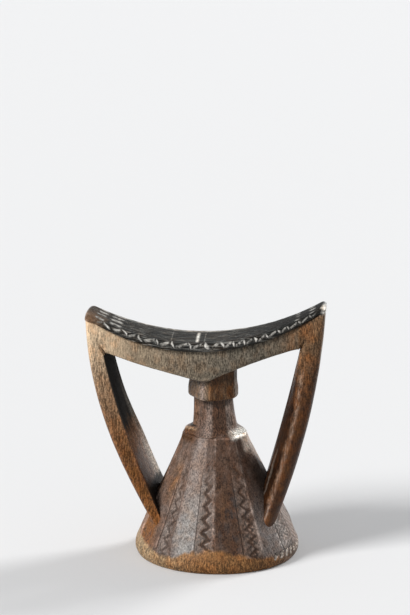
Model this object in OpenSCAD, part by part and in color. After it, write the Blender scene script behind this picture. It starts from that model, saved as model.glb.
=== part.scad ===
// Wooden headrest: a curved saddle on a slim beam, carried by a necked and
// panelled skirt in the middle and by two bowed struts that come down from
// the ends of the saddle onto the flare of the skirt.
// The real one is carved from a single block with the grain upright. Each
// node is one carved member, cut off where the carving has its crease, and
// the members meet face to face.
// X runs along the saddle, Y is its depth and Z is up. The origin is on the
// ground under the middle of the outline.

/* [Saddle] */
// Length of the saddle over both tips
saddle_length = 163; // [150:1:200]
// Height of the lowest point of the resting face
saddle_low_z = 151; // [149:1:160]
// Radius of the resting arc along the saddle
saddle_arc_r = 160; // [140:1:230]
// Distance of the lowest point from the middle, towards the left tip
saddle_low_x = -6; // [-12:1:6]
// Thickness of the saddle slab in the middle
saddle_mid_t = 5.5; // [4:0.5:8]
// Thickness of the saddle slab at its tips
saddle_tip_t = 3; // [2.5:0.1:5]
// Depth of the saddle, front to back, at its widest
saddle_depth = 50; // [40:1:64]
// Where the saddle is widest, from the middle
saddle_wide_x = -13; // [-25:1:10]
// How far each long side draws in for 100 mm of length, squared
saddle_draw_in = 11.5; // [4:0.5:14]
// Width of the carved bevel round the resting face, seen from above
bevel_w = 5; // [3:0.5:6]
// Height of the upright lip below the bevel
lip_h = 0.8; // [0.5:0.1:1.5]
// Crown of the resting face across its depth
rest_crown = 0.8; // [0:0.1:2]
// Rounding of the two tips
tip_round = 4; // [2:0.5:6]

/* [Beam] */
// Length of the beam from the middle to the left strut
beam_left = 68; // [62:1:70]
// Length of the beam from the middle to the right strut
beam_right = 64.5; // [60:0.5:69]
// Height of the keel, where the underside is lowest
keel_z = 123; // [120:0.5:126]
// Distance of the keel from the middle
keel_x = 1; // [-4:1:8]
// Rise of the underside from the keel to the left strut
rise_left = 19; // [14:0.5:22]
// Rise of the underside from the keel to the right strut
rise_right = 24; // [18:0.5:26]
// Sag of the left half of the underside below a straight line
sag_left = 0.9; // [0:0.1:2]
// Arching of the right half of the underside above a straight line
arch_right = 1.5; // [0:0.1:3]
// Step from the lip of the saddle in to the face of the beam
beam_step = 0.7; // [0.4:0.1:2]
// Draw-in of each face of the beam from its top to its bottom
beam_taper = 2; // [0:0.5:4]
// Rounding of the lower edges of the beam
beam_round = 3; // [1:0.5:5]

/* [Struts] */
// Height at which the struts' lines start inside the skirt
root_z = 14; // [11:1:18]
// Left strut: distance of the outer face from the middle, at the root
left_out_root = 27.5; // [25:0.5:31]
// Left strut: bow of the outer face
left_out_bow = 12.5; // [9:0.5:15]
// Left strut: distance of the inner face from the middle, at the root
left_in_root = 20.5; // [17:0.5:22]
// Left strut: bow of the inner face
left_in_bow = 4.5; // [2:0.5:6]
// Left strut: depth, front to back, at the top
left_depth_top = 39; // [32:1:44]
// Left strut: depth, front to back, at the root
left_depth_root = 54; // [46:1:60]
// Right strut: distance of the outer face from the middle, at the root
right_out_root = 44; // [40:0.5:47]
// Right strut: bow of the outer face
right_out_bow = 7.5; // [5:0.5:11]
// Right strut: distance of the inner face from the middle, at the root
right_in_root = 29; // [26:0.5:32]
// Right strut: bow of the inner face
right_in_bow = 2; // [0:0.5:5]
// Right strut: depth, front to back, at the top
right_depth_top = 36; // [30:1:40]
// Right strut: depth, front to back, at the root
right_depth_root = 57; // [48:1:60]

/* [Collar and neck] */
// Distance of the collar's middle from the middle of the saddle
collar_x = 4.6; // [3:0.1:7]
// Height of the collar's lower edge
collar_z = 109.5; // [106:0.5:114]
// Half width of the collar at its corners
collar_r = 16.3; // [15.5:0.1:19]
// Half depth of the collar at its corners, front to back
collar_d = 19; // [17:0.5:21]
// Angle covered by one of the collar's four narrow faces
collar_narrow = 25; // [14:1:38]
// Turn of the collar about the upright, to the left
collar_turn = 13.5; // [0:0.5:30]
// Height of the sloping lower edge of the collar
collar_edge = 2.5; // [1:0.5:4]
// Draw-in of the collar above and below its fullest height
collar_belly = 0.3; // [0.1:0.1:0.8]
// Radius of the neck under the collar
neck_top_r = 13.5; // [11:0.5:15]
// Radius of the neck on the shoulder of the skirt
neck_foot_r = 16; // [14:0.5:19]
// Lean of the neck towards the collar, from its foot to its top
neck_lean = 1.2; // [0:0.1:3]

/* [Skirt and foot] */
// Height of the shoulder on which the neck stands
shoulder_z = 85; // [80:1:92]
// Radius of the shoulder, measured to the middle of a panel
shoulder_r = 21.5; // [20:0.5:25]
// Rounding of the shoulder's edge
shoulder_round = 2; // [1:0.5:3]
// Number of panels round the skirt and the neck
panels = 10; // [8:2:12]
// Flatness of the panels, from 0 for a round skirt to 1 for flat panels
panel_flat = 0.9; // [0.5:0.05:0.95]
// Height over which the panels run out into the round foot
run_out = 10; // [6:1:16]
// How much the flare is hollowed, 1 for a straight cone
flare_power = 1.06; // [1:0.01:1.3]
// Largest radius of the foot
foot_r = 57; // [52:1:66]
// Height of the foot below the skirt
foot_h = 10; // [6:0.5:14]
// Draw-in of the foot's edge at the ground and under the skirt
foot_in_low = 2; // [1:0.5:4]
// Draw-in of the foot's edge where the skirt begins
foot_in_top = 1; // [0.5:0.5:2]
// Distance of the foot's centre from the middle of the outline
foot_x = 7.3; // [4:0.1:12]
// Lean of the skirt's axis, from the foot to the shoulder
skirt_lean = 1.3; // [0:0.1:3]

/* [Hidden] */

dark_wood = [0.17, 0.15, 0.14];
beam_wood = [0.45, 0.36, 0.28];
left_wood = [0.50, 0.34, 0.21];
right_wood = [0.40, 0.25, 0.16];
collar_wood = [0.52, 0.40, 0.29];
neck_wood = [0.38, 0.31, 0.26];
skirt_wood = [0.30, 0.25, 0.22];
foot_wood = [0.62, 0.46, 0.29];

half_w = saddle_length / 2;
beam_steps = 11;
end_steps = 4;
strut_steps = 18;
ring_n = 4 * panels;
above = 30;

function mix(a, b, s) = a + (b - a) * s;
function steps(a, b, n) = [for (k = [0:n - 1]) mix(a, b, k / n)];

// A straight run from a to b that bows out by belly in its middle
function bow(a, b, belly, s) = mix(a, b, s) + 4 * belly * s * (1 - s);

// Stations along the saddle and along the beam: every one of the beam's is
// one of the saddle's, so that their common faces are the same
beam_xs = concat(steps(-beam_left, keel_x, beam_steps), steps(keel_x, beam_right, beam_steps),
    [beam_right]);
saddle_xs = concat(steps(-half_w, -beam_left, end_steps), beam_xs,
    [for (k = [1:end_steps]) mix(beam_right, half_w, k / end_steps)]);

function slab_t(x) = mix(saddle_mid_t, saddle_tip_t, pow(x / half_w, 2));
function arc_z(x) =
    saddle_low_z + saddle_arc_r - sqrt(pow(saddle_arc_r, 2) - pow(x - saddle_low_x, 2));
function half_depth(x) =
    saddle_depth / 2 - saddle_draw_in * pow((x - saddle_wide_x) / 100, 2);
// Height of the slab's underside, which is the top of the beam and struts
function line_z(x) = arc_z(x) - slab_t(x);
// How far a tip is rounded down at x
function tip_drop(x) =
    let (d = max(0, abs(x) - half_w + tip_round))
    tip_round - sqrt(pow(tip_round, 2) - d * d);

function under_z(x) = x < keel_x
    ? keel_z + bow(0, rise_left, -sag_left, (keel_x - x) / (keel_x + beam_left))
    : keel_z + bow(0, rise_right, arch_right, (x - keel_x) / (beam_right - keel_x));

// Joins a list of closed rings into a solid: all have as many points and run
// anticlockwise, seen from the far end of the loft
module loft(rings) {
    n = len(rings[0]);
    m = len(rings);
    sides = [
        for (r = [0:m - 2], k = [0:n - 1])
            let (a = r * n + k, b = r * n + (k + 1) % n)
            for (face = [[a, a + n, b], [b, a + n, b + n]]) face
    ];
    first = [for (k = [0:n - 1]) k];
    last = [for (k = [n - 1:-1:0]) (m - 1) * n + k];
    polyhedron(points = [for (r = rings) for (p = r) p], faces = concat([first], sides, [last]));
}

// Turns round the order of a ring's points
function reversed(ring) = [for (k = [len(ring) - 1:-1:0]) ring[k]];

function mirrored(half) = concat(half, [for (k = [len(half) - 1:-1:0]) [-half[k][0], half[k][1]]]);

// Half of the saddle's section at x, from the front lip to the crown
function saddle_half(x) =
    let (
        d = half_depth(x) - tip_drop(x),
        low = line_z(x),
        top = max(arc_z(x) - tip_drop(x) * 0.6, low + lip_h + 0.5),
        flat = d - bevel_w
    )
    [
        [-d, low], [-d, low + lip_h], [-flat, top],
        [-flat * 0.6, top + rest_crown * 0.64], [-flat * 0.2, top + rest_crown * 0.96]
    ];

module saddle() {
    color(dark_wood)
        loft([for (x = saddle_xs) [for (p = reversed(mirrored(saddle_half(x)))) [x, p[0], p[1]]]]);
}

// Half of the beam's section at x, from the top of its front face to the keel
function beam_half_section(x) =
    let (
        d = half_depth(x) - beam_step,
        low = under_z(x),
        top = line_z(x),
        corner = d - beam_taper
    )
    [
        [-(corner - beam_round), low],
        [-(corner - beam_round * 0.3), low + beam_round * 0.3],
        [-corner, low + beam_round],
        [-mix(corner, d, 0.7), mix(low, top, 0.55)],
        [-d, top]
    ];

module beam() {
    color(beam_wood)
        loft([for (x = beam_xs) [for (p = reversed(mirrored(beam_half_section(x)))) [x, p[0], p[1]]]]);
}

// Everything above the slab's underside, used to trim the struts' heads
module above_line() {
    translate([0, saddle_depth, 0])
        rotate([90, 0, 0])
            linear_extrude(2 * saddle_depth)
                polygon(concat([for (x = saddle_xs) [x, line_z(x)]],
                    [[half_w + above, line_z(half_w)], [half_w + above, saddle_low_z + 3 * above],
                    [-half_w - above, saddle_low_z + 3 * above], [-half_w - above, line_z(-half_w)]]));
}

// Everything above the beam's underside, used to trim the collar
module above_under() {
    translate([0, saddle_depth, 0])
        rotate([90, 0, 0])
            linear_extrude(2 * saddle_depth)
                polygon(concat([for (x = beam_xs) [x, under_z(x)]],
                    [[beam_right, saddle_low_z], [-beam_left, saddle_low_z]]));
}

// Cross sections of the struts: across from the inner to the outer face and
// front to back, both from -1 to 1
left_section = mirrored_depth([[-1, 0.93], [-0.8, 1], [0.45, 1], [0.85, 0.9], [1, 0.72]]);
right_section = mirrored_depth([[-1, 0.6], [-0.45, 0.88], [0, 1], [0.5, 0.95], [0.8, 0.84], [1, 0.62]]);
function mirrored_depth(front) = concat([for (p = front) [p[0], -p[1]]], reversed(front));

// A strut on side 1 or -1: its inner face runs up to the corner under the
// beam and then follows the beam's end
module strut_form(side, section, beam_end, corner_z, out_root, out_bow, in_root, in_bow, depth_root, depth_top) {
    head_z = saddle_low_z + above;
    low_zs = steps(root_z, corner_z, strut_steps);
    high_zs = concat(steps(corner_z, head_z, end_steps), [head_z]);
    reach_z = line_z(side * half_w);
    rings = [
        for (z = concat(low_zs, high_zs))
            let (
                s = (z - root_z) / (reach_z - root_z),
                outer = s < 1 ? bow(out_root, half_w, out_bow, s) : half_w,
                inner = z < corner_z
                    ? bow(in_root, beam_end, in_bow, (z - root_z) / (corner_z - root_z))
                    : beam_end,
                depth = mix(depth_root, depth_top, min(1, s)) / 2
            )
            [for (p = section) [side * (mix(inner, outer, (p[0] + 1) / 2)), p[1] * depth, z]]
    ];
    loft(side < 0 ? [for (r = rings) reversed(r)] : rings);
}

module left_strut() {
    color(left_wood)
        difference() {
            strut_form(-1, left_section, beam_left, under_z(-beam_left), left_out_root, left_out_bow,
                left_in_root, left_in_bow, left_depth_root, left_depth_top);
            skirt_form();
            above_line();
        }
}

module right_strut() {
    color(right_wood)
        difference() {
            strut_form(1, right_section, beam_right, under_z(beam_right), right_out_root, right_out_bow,
                right_in_root, right_in_bow, right_depth_root, right_depth_top);
            skirt_form();
            above_line();
        }
}

// The axis leans from the foot's centre towards the collar
skirt_axis_slope = skirt_lean / (shoulder_z - foot_h);
function axis_x(z) = foot_x - skirt_axis_slope * max(0, z - foot_h);
function panel_ripple(a) =
    let (w = 360 / panels, off = abs(((a + 90 + 360) % w) - w / 2))
    1 / cos(off);

skirt_foot_r = foot_r - foot_in_top;
function skirt_r(z) =
    let (s = (shoulder_z - z) / (shoulder_z - foot_h))
    mix(shoulder_r, skirt_foot_r, pow(s, flare_power));

// One ring of a panelled round: flat 0 is a circle and 1 has flat panels
function panelled_ring(r, x, z, flat) = [
    for (k = [0:ring_n - 1])
        let (a = 360 * k / ring_n, rr = r * mix(1, panel_ripple(a), flat))
        [x + rr * cos(a), rr * sin(a), z]
];

module skirt_form() {
    low = steps(foot_h, foot_h + run_out, 4);
    high = steps(foot_h + run_out, shoulder_z - shoulder_round, 8);
    rings = concat(
        [for (z = low) panelled_ring(skirt_r(z), axis_x(z), z, panel_flat * (z - foot_h) / run_out)],
        [for (z = high) panelled_ring(skirt_r(z), axis_x(z), z, panel_flat)],
        [
            for (a = [0, 30, 60, 90])
                let (z = shoulder_z - shoulder_round * (1 - sin(a)))
                panelled_ring(skirt_r(shoulder_z - shoulder_round) - shoulder_round * (1 - cos(a)),
                    axis_x(z), z, panel_flat)
        ]
    );
    loft(rings);
}

module skirt() {
    color(skirt_wood) skirt_form();
}

module neck() {
    span = collar_z - shoulder_z;
    foot_at = axis_x(shoulder_z);
    rings = [
        for (k = [0:8])
            let (s = k / 8, r = mix(neck_foot_r, neck_top_r, 1 - pow(1 - s, 1.6)))
            panelled_ring(r, foot_at - neck_lean * s, shoulder_z + span * s, panel_flat)
    ];
    color(neck_wood) loft(rings);
}

// One ring of the collar: a square with its corners cut off by narrow faces
function collar_ring(inset, z) = [
    for (q = [0:3], side = [-1, 1])
        let (a = q * 90 - 90 - collar_turn + side * collar_narrow / 2)
        [collar_x + (collar_r - inset) * cos(a), (collar_d - inset) * sin(a), z]
];

module collar() {
    high_z = keel_z + rise_right;
    rings = [
        collar_ring(collar_edge * 0.7, collar_z),
        collar_ring(collar_belly, collar_z + collar_edge),
        collar_ring(0, mix(collar_z, keel_z, 0.55)),
        collar_ring(collar_belly * 2, keel_z),
        collar_ring(collar_belly * 3, high_z)
    ];
    color(collar_wood)
        difference() {
            loft(rings);
            above_under();
        }
}

module foot() {
    color(foot_wood)
        translate([foot_x, 0, 0])
            rotate_extrude($fn = 120)
                polygon(concat(
                    [[0, 0], [foot_r - foot_in_low - 1, 0]],
                    [
                        for (k = [1:8])
                            let (s = k / 8, from_mid = s - 0.5, draw = s < 0.5 ? foot_in_low : foot_in_top)
                            [foot_r - draw * 4 * from_mid * from_mid, foot_h * s]
                    ],
                    [[0, foot_h]]
                ));
}

saddle();
beam();
left_strut();
right_strut();
collar();
neck();
skirt();
foot();
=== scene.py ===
import math

import bpy
import numpy as np
from bpy.props import FloatProperty, FloatVectorProperty, IntProperty, PointerProperty
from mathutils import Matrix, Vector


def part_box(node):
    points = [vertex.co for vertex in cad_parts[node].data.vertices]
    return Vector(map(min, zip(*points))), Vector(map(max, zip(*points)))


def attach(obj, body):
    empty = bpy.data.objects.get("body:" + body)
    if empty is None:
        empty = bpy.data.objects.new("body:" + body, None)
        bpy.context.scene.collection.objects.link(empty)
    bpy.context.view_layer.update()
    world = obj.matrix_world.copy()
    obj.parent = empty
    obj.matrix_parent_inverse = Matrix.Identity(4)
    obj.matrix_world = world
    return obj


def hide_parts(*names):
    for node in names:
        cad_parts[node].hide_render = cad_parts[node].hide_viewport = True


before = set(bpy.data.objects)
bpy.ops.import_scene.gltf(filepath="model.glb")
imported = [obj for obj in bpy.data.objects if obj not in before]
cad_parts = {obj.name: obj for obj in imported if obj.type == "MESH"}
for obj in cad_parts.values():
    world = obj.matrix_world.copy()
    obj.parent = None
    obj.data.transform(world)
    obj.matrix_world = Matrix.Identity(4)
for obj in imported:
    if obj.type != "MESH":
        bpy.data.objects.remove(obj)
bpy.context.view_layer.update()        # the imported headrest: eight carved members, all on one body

bl_info = {
    "name": "Carved wooden headrest",
    "version": (1, 0, 0),
    "blender": (4, 5, 0),
    "location": "View3D > Sidebar > Headrest",
    "description": "Dresses the headrest's carved members with their worn and cut surfaces",
    "category": "Add Mesh",
}

MM = 0.001
BODY = "root"

# Where the CAD members begin and end
SADDLE_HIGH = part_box("saddle")[1]
BEAM_LOW, BEAM_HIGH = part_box("beam")
COLLAR_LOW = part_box("collar")[0]
SKIRT_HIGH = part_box("skirt")[1]
FOOT_LOW, FOOT_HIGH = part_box("foot")


def from_frame(name, description, metres):
    """A size for the sidebar that starts from the CAD model."""
    return FloatProperty(name=name, description=description, default=metres, unit="LENGTH",
                         subtype="DISTANCE")


def length(name, description, mm):
    """A size for the sidebar, given in millimetres and kept in metres."""
    return from_frame(name, description, mm * MM)


def share(name, description, value):
    """A plain number for the sidebar."""
    return FloatProperty(name=name, description=description, default=value)


def colour(name, description, red, green, blue):
    """A colour for the sidebar, in linear light."""
    return FloatVectorProperty(name=name, description=description, default=(red, green, blue), size=3,
                               subtype="COLOR", min=0.0, max=1.0)


class HeadrestSizes(bpy.types.PropertyGroup):
    """Sizes of the headrest's members"""
    half_length: from_frame("Half length", "Half of the saddle's length over both tips", SADDLE_HIGH.x)
    rest_low_z: length("Resting height", "Height of the resting face at its lowest", 151)
    rest_radius: length("Resting radius", "Radius of the resting arc along the saddle", 160)
    rest_low_x: length("Lowest point", "Distance of the lowest point from the middle", -6)
    slab_middle: length("Slab in the middle", "Thickness of the saddle in the middle", 5.5)
    slab_tip: length("Slab at the tips", "Thickness of the saddle at its tips", 3)
    depth: length("Saddle depth", "Depth of the saddle at its widest", 50)
    wide_x: length("Widest point", "Where the saddle is widest, from the middle", -13)
    draw_in: length("Draw-in", "How far each long side draws in for 100 mm, squared", 11.5)
    bevel: length("Bevel", "Width of the carved bevel seen from above", 5)
    lip: length("Lip", "Height of the upright lip below the bevel", 0.8)
    crown: length("Crown", "Crown of the resting face across its depth", 0.8)
    tip_round: length("Tip rounding", "Rounding of the two tips", 4)
    tip_wrap: length("Tip wrap", "How far the saddle's tips reach down over the struts", 2.2)
    beam_left: from_frame("Beam to the left", "Length of the beam from the middle leftwards", -BEAM_LOW.x)
    beam_right: from_frame("Beam to the right", "Length of the beam from the middle rightwards", BEAM_HIGH.x)
    keel_z: from_frame("Keel height", "Height of the beam's underside at its lowest", BEAM_LOW.z)
    keel_x: length("Keel place", "Distance of the keel from the middle", 1)
    keel_round: length("Keel rounding", "How far to each side the keel's edge is rubbed round", 4.5)
    keel_worn: share("Keel wear", "Height rubbed off the keel's edge, as a share of its rounding", 0.185)
    rise_left: length("Rise to the left", "Rise of the underside from the keel to the left strut", 19)
    rise_right: length("Rise to the right", "Rise of the underside from the keel to the right strut", 24)
    sag_left: length("Sag on the left", "Sag of the left half of the underside", 0.9)
    arch_right: length("Arch on the right", "Arching of the right half of the underside", 1.5)
    beam_step: length("Step under the lip", "Step from the lip in to the beam's face", 0.7)
    root_z: length("Root height", "Height at which the struts' lines start", 14)
    left_out_root: length("Left outer root", "Left strut's outer face from the middle, at the root", 27.5)
    left_out_bow: length("Left outer bow", "Bow of the left strut's outer face", 12.5)
    left_in_root: length("Left inner root", "Left strut's inner face from the middle, at the root", 20.5)
    left_in_bow: length("Left inner bow", "Bow of the left strut's inner face", 4.5)
    left_depth_top: length("Left depth, top", "Depth of the left strut at its top", 39)
    left_depth_root: length("Left depth, root", "Depth of the left strut at its root", 54)
    right_out_root: length("Right outer root", "Right strut's outer face from the middle, at the root", 44)
    right_out_bow: length("Right outer bow", "Bow of the right strut's outer face", 7.5)
    right_in_root: length("Right inner root", "Right strut's inner face from the middle, at the root", 29)
    right_in_bow: length("Right inner bow", "Bow of the right strut's inner face", 2)
    right_depth_top: length("Right depth, top", "Depth of the right strut at its top", 36)
    right_depth_root: length("Right depth, root", "Depth of the right strut at its root", 57)
    root_flare: length("Root flare", "How far the struts spread in depth onto the skirt", 2.5)
    root_flare_right: length("Right root flare", "The same at the right strut's root", 4)
    twist: length("Left twist", "How far the left strut's inner back edge turns in", 2.6)
    corner_round: length("Corner rounding", "Rounding between a strut's inner face and the beam", 1.2)
    collar_x: length("Collar place", "Distance of the collar's middle from the middle", 4.6)
    collar_z: from_frame("Collar height", "Height of the collar's lower edge", COLLAR_LOW.z)
    collar_half_width: length("Collar half width", "Half width of the collar at its corners", 17.7)
    collar_half_depth: length("Collar half depth", "Half depth of the collar at its corners", 19)
    collar_edge: length("Collar edge", "Height of the rounded lower edge of the collar", 2.8)
    neck_top: length("Neck radius, top", "Radius of the neck under the collar", 13.5)
    neck_foot: length("Neck radius, foot", "Radius of the neck on the shoulder", 16)
    neck_lean: length("Neck lean", "Lean of the neck towards the collar", 1.2)
    shoulder_z: from_frame("Shoulder height", "Height of the shoulder of the skirt", SKIRT_HIGH.z)
    shoulder_r: length("Shoulder radius", "Radius of the shoulder to the middle of a panel", 21.5)
    shoulder_round: length("Shoulder rounding", "Rounding of the shoulder's edge", 2)
    shoulder_lump: length("Shoulder lumps", "How far the neck's foot swells out at each side", 5.2)
    run_on: length("Run-on", "How far the neck's foot runs out onto the shoulder in front", 4)
    run_out: length("Run-out", "Height over which the panels run out into the foot", 10)
    flare_power: share("Flare", "How much the flare is hollowed, 1 for a straight cone", 1.06)
    panel_flat: share("Panel flatness", "From 0 for a round skirt to 1 for flat panels", 0.9)
    foot_r: from_frame("Foot radius", "Largest radius of the foot", (FOOT_HIGH.x - FOOT_LOW.x) / 2)
    foot_h: from_frame("Foot height", "Height of the foot below the skirt", FOOT_HIGH.z)
    foot_x: from_frame("Foot place", "Where the foot's centre is", (FOOT_HIGH.x + FOOT_LOW.x) / 2)
    foot_in_low: length("Foot draw-in, low", "Draw-in of the foot's edge at the ground", 2)
    foot_in_top: length("Foot draw-in, top", "Draw-in of the foot's edge under the skirt", 1)
    skirt_lean: length("Skirt lean", "Lean of the skirt's axis from the foot to the shoulder", 1.3)
    hewn: length("Hewn relief", "Depth of the uneven surface that the adze left", 0.35)
    mesh_step: length("Mesh step", "Distance between the rings of the members' meshes", 0.6)


class HeadrestCarving(bpy.types.PropertyGroup):
    """Sizes of the cut ornament"""
    zigzag_pitch: length("Skirt zigzag pitch", "Height of one turn of the zigzags on the skirt", 7.8)
    zigzag_width: length("Skirt groove width", "Width of the zigzags' grooves", 3.4)
    zigzag_depth: length("Skirt groove depth", "Depth of the zigzags' grooves", 0.65)
    border_width: length("Border width", "Width of the lines beside the skirt's zigzags", 1.3)
    border_depth: length("Border depth", "Depth of the lines beside the skirt's zigzags", 0.45)
    band_angle: FloatProperty(name="Band angle", description="Angle that a zigzag band covers by its ridge",
                              default=math.radians(14), subtype="ANGLE", unit="ROTATION")
    chip_pitch: length("Chip pitch", "Length of one pair of chips along the saddle's bevel", 11.2)
    chip_pitch_tight: length("Tight chip pitch", "The same on the right, where the chips crowd", 7.3)
    chip_tight_x: length("Where chips crowd", "Distance from the middle at which the chips crowd", 13)
    chip_width: length("Chip width", "Width of the chips' grooves", 1.6)
    chip_depth: length("Chip depth", "Depth of the chips", 0.75)
    lip_line_width: length("Lip line width", "Width of the line along the saddle's lip", 0.8)
    lip_line_depth: length("Lip line depth", "Depth of the line along the saddle's lip", 0.3)
    stroke_pitch: length("End stroke pitch", "Distance between the strokes across the saddle's ends", 9)
    stroke_width: length("End stroke width", "Width of the strokes across the saddle's ends", 4.4)
    stroke_depth: length("End stroke depth", "Depth of the strokes across the saddle's ends", 0.55)
    notch_pitch: length("Rim notch pitch", "Distance between the notches in the rim", 6.2)
    notch_width: length("Rim notch width", "Width of the notches in the rim", 2.8)
    notch_depth: length("Rim notch depth", "Depth of the notches in the rim", 1.1)
    seed: IntProperty(name="Seed", description="Seed of the carver's unevenness", default=7)


class HeadrestColours(bpy.types.PropertyGroup):
    """Colours of the wood and its patina"""
    black: colour("Blackened face", "Smoked and handled resting face", 0.017, 0.017, 0.016)
    # Pale cut or rubbed wood; also the colour of the painted highlights, glints and sheen
    pale_and_highlight: colour("Rubbed pale", "Cut or rubbed wood that shines pale", 0.50, 0.475, 0.43)
    # Its paleness at the beam's left end is partly painted light
    tan: colour("Tan wood", "Rubbed tan wood of the beam's left half", 0.50, 0.365, 0.240)
    grey: colour("Grey wood", "Grey wood in the middle of the beam", 0.178, 0.148, 0.112)
    brown: colour("Brown wood", "Brown wood of the beam's right end", 0.190, 0.128, 0.080)
    orange: colour("Orange wood", "Orange-brown wood low on the left strut", 0.175, 0.070, 0.021)
    red: colour("Red wood", "Red-brown polished wood of the right strut", 0.085, 0.043, 0.025)
    # Also painted as shade inside the left strut, under the beam on the collar and neck, and beside the
    # struts
    umber: colour("Umber", "Dark wood in the hollows", 0.016, 0.011, 0.007)
    film: colour("Grey film", "Grey film on the skirt", 0.230, 0.208, 0.198)
    # Also painted as highlights on the collar's narrow face, the right strut's ridge, the skirt's ridges and
    # inside the left strut
    pink: colour("Pinkish film", "Pinkish grey film on rubbed ridges", 0.335, 0.255, 0.215)
    ochre: colour("Ochre", "Bare golden wood of the rim", 0.245, 0.115, 0.042)
    straw: colour("Straw", "Pale bare wood at the rim's left", 0.34, 0.24, 0.140)
    soot: colour("Soot", "Sooty patch between the skirt's middle bands", 0.034, 0.034, 0.036)
    bronze: colour("Bronze brown", "Worn wood of the saddle's left tip", 0.165, 0.103, 0.064)
    # Painted light low on the left strut's inner face and along its back edge
    lit_pale: colour("Bleached wood", "Dry pale wood low inside the left strut", 0.68, 0.60, 0.51)
    # Painted light on the facet below the shoulder on the right
    lit_cream: colour("Cream facet", "Rubbed pale facet below the shoulder on the right", 0.80, 0.65, 0.54)
    floor: colour("Floor", "Plain pale floor", 0.80, 0.80, 0.80)


# The ridges between the skirt's panels, as angles round it: 0 is the front and 90 is +X
RIDGES = [math.radians(a) for a in (-106, -70, -30, 2, 38, 74, 110, 146, 182, 218)]

# The panels between them, each from its left ridge to its right one
PANELS = list(zip(RIDGES, RIDGES[1:] + [RIDGES[0] + 2 * math.pi]))

# Which of the ridges are cut by a line, counted from the left
CREASED = (2, 5, 7, 8)

# Height up to which the foot's rim is worn bare, in millimetres, at turns round it in degrees
RIM = ((-180, 9), (-140, 12), (-85, 17), (-60, 13), (-40, 9), (-28, 9.5), (-14, 14), (-2, 17), (14, 14.5),
       (30, 10), (48, 8.5), (80, 7.5), (130, 8), (180, 9))

# How deep the zigzag left of each ridge is still cut, the band that has nested chevrons,
# and the one whose zigzag is crossed by a second one low down
BAND_DEPTHS = (0.6, 0.5, 0.7, 0.9, 0.85, 0.6, 0.6, 0.8, 0.6, 0.7)
NESTED, CROSSED = 5, 4

# Half outlines of the members' cross sections, from the inner or lower edge (0) to
# the outer or upper edge (1), with the share of the half depth that they reach
LEFT_SECTION = [(0, 0.80), (0, 0.91), (0.03, 0.965), (0.1, 0.995), (0.2, 1), (0.6, 1), (0.725, 0.99),
                (0.85, 0.95), (0.94, 0.885), (0.985, 0.79), (1, 0.70), (1, 0.55)]
BEAM_SECTION = [(0, 0.68), (0, 0.78), (0.012, 0.83), (0.04, 0.875), (0.08, 0.90), (0.15, 0.92), (0.55, 0.975),
                (0.93, 1), (0.99, 1), (1, 0.99), (1, 0.9)]
RIGHT_SECTION = [(0, 0.45), (0, 0.57), (0.05, 0.66), (0.275, 0.88), (0.42, 0.975), (0.5, 0.995), (0.6, 0.985),
                 (0.75, 0.95), (0.9, 0.84), (0.97, 0.72), (1, 0.62), (1, 0.48)]
RIGHT_TOP_SECTION = [(0, 0.68), (0, 0.78), (0.03, 0.88), (0.12, 0.94), (0.3, 0.96), (0.5, 0.96), (0.65, 0.95),
                     (0.78, 0.92), (0.9, 0.86), (0.97, 0.78), (1, 0.68), (1, 0.5)]
RING_POINTS = 112

# Columns of the mesh round the collar and round the neck
TURN_COLUMNS = 160

# Lengths along X, Y and Z of the broad and the fine waves that the adze left
BROAD_WAVES, FINE_WAVES = (9 * MM, 9 * MM, 20 * MM), (3.5 * MM, 3.5 * MM, 9 * MM)

# Edges that bend more than this are shaded sharp
SHARP_ANGLE = math.radians(58)


def mix(a, b, s):
    """Goes from a to b as s goes from 0 to 1."""
    return a + (b - a) * s


def bow(a, b, belly, s):
    """A straight run from a to b that bows out by belly in its middle."""
    return mix(a, b, s) + 4 * belly * s * (1 - s)


def ease(x, low, high):
    """Rises smoothly from 0 at low to 1 at high."""
    t = np.clip((x - low) / (high - low), 0, 1)
    return t * t * (3 - 2 * t)


def hump(x, middle, width):
    """A smooth hump of height 1 round a middle."""
    return np.exp(-((x - middle) / width) ** 2)


def stations(low, high, step):
    """Evenly spaced values from low to high, no further apart than step."""
    return np.linspace(low, high, int(math.ceil((high - low) / step)) + 1)


def places(x, y, z):
    """Points from their coordinates, of which each may be the same along a row or a column."""
    return np.stack(np.broadcast_arrays(x, y, z), -1)


def face_reach(turn, middle, half):
    """How far out a flat face lies at each turn, with its corners half a face away at 1."""
    return math.cos(half) / np.maximum(np.cos(turn - middle), 0.2)


def soft_least(values, rounding):
    """The least of several values, rounded off where two of them meet."""
    values = np.stack(values)
    least = values.min(0)
    return least - rounding * np.log(np.exp((least - values) / rounding).sum(0))


def run_along(path):
    """Length of a path up to each of its points."""
    return np.concatenate([[0], np.cumsum(np.linalg.norm(np.diff(path, axis=0), axis=1))])


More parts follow.
